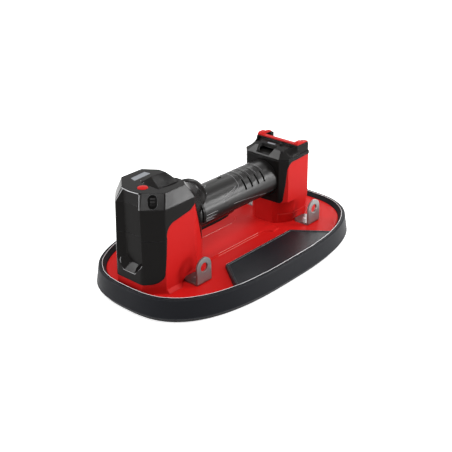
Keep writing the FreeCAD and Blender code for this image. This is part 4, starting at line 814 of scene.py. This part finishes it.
def port_ring():
    """Points round the exhaust port's oval: two half circles, one drawn up and one drawn down."""
    low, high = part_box("exhaust_port")
    middle = (low + high) * 0.5
    _, out = meets(("pump_cap",), middle + Vector(CAP_CORNER) * MM, (1.0, 1.0, 0.0))
    out = Vector(out).normalized()
    up = (Vector((0.0, 0.0, 1.0)) - out * out.z).normalized()
    across = up.cross(out).normalized()
    stretch = PORT_HALF_H - PORT_HALF_W
    ring = []
    for i in range(PORT_STEPS + 1):
        turn = math.tau * i / PORT_STEPS
        lift = math.copysign(stretch, math.sin(turn)) if abs(math.sin(turn)) > TINY else 0.0
        spot = middle + across * (PORT_HALF_W * math.cos(turn) * MM) \
            + up * ((PORT_HALF_W * math.sin(turn) + lift) * MM)
        ring.append(first_meet(("exhaust_port", "pump_cap"), spot + out * (PORT_CLEAR * MM), -out))
    return ring


class LIFTER_OT_cap_marks(bpy.types.Operator):
    """Lays the exhaust port's fine rim, a dim grey bead painted as its highlight, and the two charge lamps
    on the cap
    """
    bl_idname = "lifter.cap_marks"
    bl_label = "Cap marks"

    def execute(self, context):
        lay_beads("port_rim", [port_ring()])
        half = Vector((DOT_HALF * MM, 0.0, 0.0))
        dots = [first_meet(("pump_cap",), (x * MM, y * MM, ABOVE_CAP * MM), DOWN) for x, y in CAP_DOTS]
        lay_beads("charge_lamps", [[dot - half, dot + half] for dot in dots])
        return {"FINISHED"}


def panel_edge(node_name, side):
    """Points along a side panel's inner edge; side is -1 on the near side and 1 on the far one."""
    low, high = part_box(node_name)
    inner = (high[1] if side < 0 else low[1]) + side * PANEL_INSET * MM
    return [first_meet((node_name,), (x * MM, inner, ABOVE_PLATE * MM), DOWN)
            for x in steps_between(-PANEL_EDGE_X, PANEL_EDGE_X, PANEL_STEPS)]


class LIFTER_OT_panel_lines(bpy.types.Operator):
    """Lays a bright bead painted as the highlight of the inner edge of both side panels"""
    bl_idname = "lifter.panel_lines"
    bl_label = "Panel lines"

    def execute(self, context):
        lay_beads("panel_lines", [panel_edge("side_panel_near", -1), panel_edge("side_panel_far", 1)])
        return {"FINISHED"}


def plate_point(x, y):
    """The top of the base plate at a place in mm."""
    return first_meet(("base_plate",), (x * MM, y * MM, ABOVE_PLATE * MM), DOWN)


class LIFTER_OT_deck_lines(bpy.types.Operator):
    """Lays the pair of fine raised lines on each side of the plate's middle strip, in a light red painted as
    their highlight
    """
    bl_idname = "lifter.deck_lines"
    bl_label = "Deck lines"

    def execute(self, context):
        lay_beads("deck_lines", [[plate_point(x, side * y) for x in steps_between(x0, x1, DECK_STEPS)]
                                 for x0, x1, y in DECK_LINES for side in (-1, 1)])
        return {"FINISHED"}


def skirt_crest(angle):
    """The highest point of the skirt's lip seen from above along one bearing, nearest its inner side."""
    out = Vector((math.cos(angle), math.sin(angle), 0.0))
    low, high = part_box("seal_skirt")
    middle = (low + high) * 0.5
    middle.z = high.z + RIM_ABOVE
    outside = Vector((middle.x, middle.y, high.z - RIM_BELOW)) + out * RIM_REACH
    edge = first_meet(("seal_skirt",), outside, -out)
    distance = (edge.xy - middle.xy).length
    best = None
    for step in range(CREST_STEPS):
        above = middle + out * (distance - CREST_STEP * step)
        place, normal = meets(("seal_skirt", "base_plate"), above, DOWN)
        if normal.z > CREST_FLAT and (best is None or place.z > best.z - CREST_TIE):
            best = place
        elif best is not None:
            break
    return best if best is not None else edge


class LIFTER_OT_rim_line(bpy.types.Operator):
    """Runs a bright bead painted as the highlight of the skirt's rolled edge round the inside of its lip"""
    bl_idname = "lifter.rim_line"
    bl_label = "Rim line"

    def execute(self, context):
        run = [skirt_crest(math.tau * i / RIM_STEPS) for i in range(RIM_STEPS)]
        lay_beads("rim_line", [run + [run[0]]])
        return {"FINISHED"}


# ---------------------------------------------------------------- stage

def soft_box(name, direction, distance, width, height, power, aim=LIT_MIDDLE):
    """An area lamp in a direction from the point that it aims at."""
    lamp = bpy.data.lights.new(name, "AREA")
    lamp.shape = "RECTANGLE"
    lamp.size = width
    lamp.size_y = height
    lamp.energy = power
    place = bpy.data.objects.new(name, lamp)
    target = Vector(aim)
    place.location = target + Vector(direction).normalized() * distance
    place.rotation_euler = (target - place.location).to_track_quat("-Z", "Y").to_euler()
    bpy.context.scene.collection.objects.link(place)


def mirrored_box(name, spot, normal, width, height, power):
    """A soft box where a facet that faces along the normal mirrors it to the camera."""
    spot = Vector(spot)
    view = (bpy.context.scene.camera.location - spot).normalized()
    face = Vector(normal).normalized()
    mirrored = face * (2.0 * view.dot(face)) - view
    soft_box(name, mirrored, STRIP_DISTANCE, width, height, power, spot)


def seen_straight(tree):
    """1 for camera, glossy and transmission rays, and 0 for the rays that light the object."""
    rays = add(tree, "ShaderNodeLightPath").outputs
    mirrored = math_node(tree, "MAXIMUM", rays["Is Glossy Ray"], rays["Is Transmission Ray"])
    return math_node(tree, "MAXIMUM", rays["Is Camera Ray"], mirrored)


def floor_material():
    """Pale floor that is plain white where it is looked at, and keeps the object's shadow."""
    material, tree, shader = new_material("pale_floor")
    shader.inputs["Base Color"].default_value = (0.94, 0.94, 0.94, 1.0)
    shader.inputs["Roughness"].default_value = 0.8
    shader.inputs["Specular IOR Level"].default_value = 0.1
    shader.inputs["Emission Color"].default_value = (1.0, 1.0, 1.0, 1.0)
    glow = ramp(tree, seen_straight(tree), (0.0, 1.0, 0.0, FLOOR_GLOW))
    tree.links.new(glow, shader.inputs["Emission Strength"])
    return material


def add_floor():
    """The wide floor, just under the object."""
    mesh = bpy.data.meshes.new("floor")
    reach = FLOOR_REACH
    mesh.from_pydata([(-reach, -reach, 0), (reach, -reach, 0), (reach, reach, 0), (-reach, reach, 0)], [],
                     [(0, 1, 2, 3)])
    mesh.materials.append(floor_material())
    floor = bpy.data.objects.new("floor", mesh)
    floor.location.z = -FLOOR_DROP
    bpy.context.scene.collection.objects.link(floor)


def add_world(ambient):
    """Even light for the object, and plain white where the camera, glossy or clear rays look past it."""
    world = bpy.data.worlds.new("studio")
    bpy.context.scene.world = world
    world.use_nodes = True
    tree = world.node_tree
    tree.nodes.clear()
    strength = ramp(tree, seen_straight(tree), (0.0, 1.0, ambient, 1.0))
    sky = add(tree, "ShaderNodeBackground", {"Color": (1.0, 1.0, 1.0, 1.0), "Strength": strength})
    add(tree, "ShaderNodeOutputWorld", {"Surface": sky.outputs["Background"]})


def add_camera(focal):
    """The camera, turned round the point that it aims at."""
    lens = bpy.data.cameras.new("camera")
    lens.lens = focal
    lens.sensor_width = 36.0
    lens.shift_x, lens.shift_y = CAMERA_SHIFT
    lens.clip_start = 0.01
    camera = bpy.data.objects.new("camera", lens)
    azimuth, elevation, roll = [math.radians(turn) for turn in CAMERA_TURN]
    back = Vector((math.sin(azimuth) * math.cos(elevation), -math.cos(azimuth) * math.cos(elevation),
                   math.sin(elevation)))
    camera.location = Vector(CAMERA_AIM) + back * CAMERA_DISTANCE
    turn = (-back).to_track_quat("-Z", "Y").to_matrix() @ Matrix.Rotation(roll, 3, "Z")
    camera.rotation_euler = turn.to_euler()
    bpy.context.scene.collection.objects.link(camera)
    bpy.context.scene.camera = camera


class LIFTER_OT_stage(bpy.types.Operator):
    """Sets up the floor, the soft boxes, the even light and the camera"""
    bl_idname = "lifter.stage"
    bl_label = "Stage"

    def execute(self, context):
        settings = context.scene.lifter_stage
        scene = context.scene
        scene.view_settings.view_transform = "Standard"
        add_floor()
        add_world(settings.ambient)
        add_camera(settings.focal)
        key = settings.key_power
        side = settings.side_power
        soft_box("overhead_box", *OVERHEAD_BOX[:-1], key * OVERHEAD_BOX[-1])
        soft_box("far_box", *FAR_BOX[:-1], side * FAR_BOX[-1])
        mirrored_box("grip_box", *GRIP_BOX[:-1], key * GRIP_BOX[-1])
        for name, (*place, share) in SIDE_STRIPS.items():
            mirrored_box(name, *place, side * share)
        return {"FINISHED"}


# ---------------------------------------------------------------- panel and run

OPERATORS = (
    LIFTER_OT_finishes,
    LIFTER_OT_shells,
    LIFTER_OT_springs,
    LIFTER_OT_grip_lines,
    LIFTER_OT_channel_trim,
    LIFTER_OT_cap_marks,
    LIFTER_OT_panel_lines,
    LIFTER_OT_deck_lines,
    LIFTER_OT_rim_line,
    LIFTER_OT_stage,
)


class LIFTER_PT_panel(bpy.types.Panel):
    """The lifter's settings and builders"""
    bl_idname = "LIFTER_PT_panel"
    bl_label = "Suction lifter"
    bl_space_type = "VIEW_3D"
    bl_region_type = "UI"
    bl_category = "Lifter"

    def draw(self, context):
        scene = context.scene
        for settings in (scene.lifter_colours, scene.lifter_sizes, scene.lifter_stage):
            box = self.layout.box()
            for name in settings.bl_rna.properties.keys():
                if name not in ("rna_type", "name"):
                    box.prop(settings, name)
        for operator in OPERATORS:
            self.layout.operator(operator.bl_idname)


CLASSES = (LifterColours, LifterSizes, StageSettings, *OPERATORS, LIFTER_PT_panel)


def register():
    """Makes the classes and the settings known."""
    for item in CLASSES:
        bpy.utils.register_class(item)
    bpy.types.Scene.lifter_colours = bpy.props.PointerProperty(type=LifterColours)
    bpy.types.Scene.lifter_sizes = bpy.props.PointerProperty(type=LifterSizes)
    bpy.types.Scene.lifter_stage = bpy.props.PointerProperty(type=StageSettings)


def unregister():
    """Takes the classes and the settings away."""
    for name in ("lifter_colours", "lifter_sizes", "lifter_stage"):
        delattr(bpy.types.Scene, name)
    for item in reversed(CLASSES):
        bpy.utils.unregister_class(item)


def main():
    """Builds everything in order."""
    register()
    for operator in OPERATORS:
        group_name, call = operator.bl_idname.split(".")
        getattr(getattr(bpy.ops, group_name), call)()


if __name__ == "__main__":
    main()
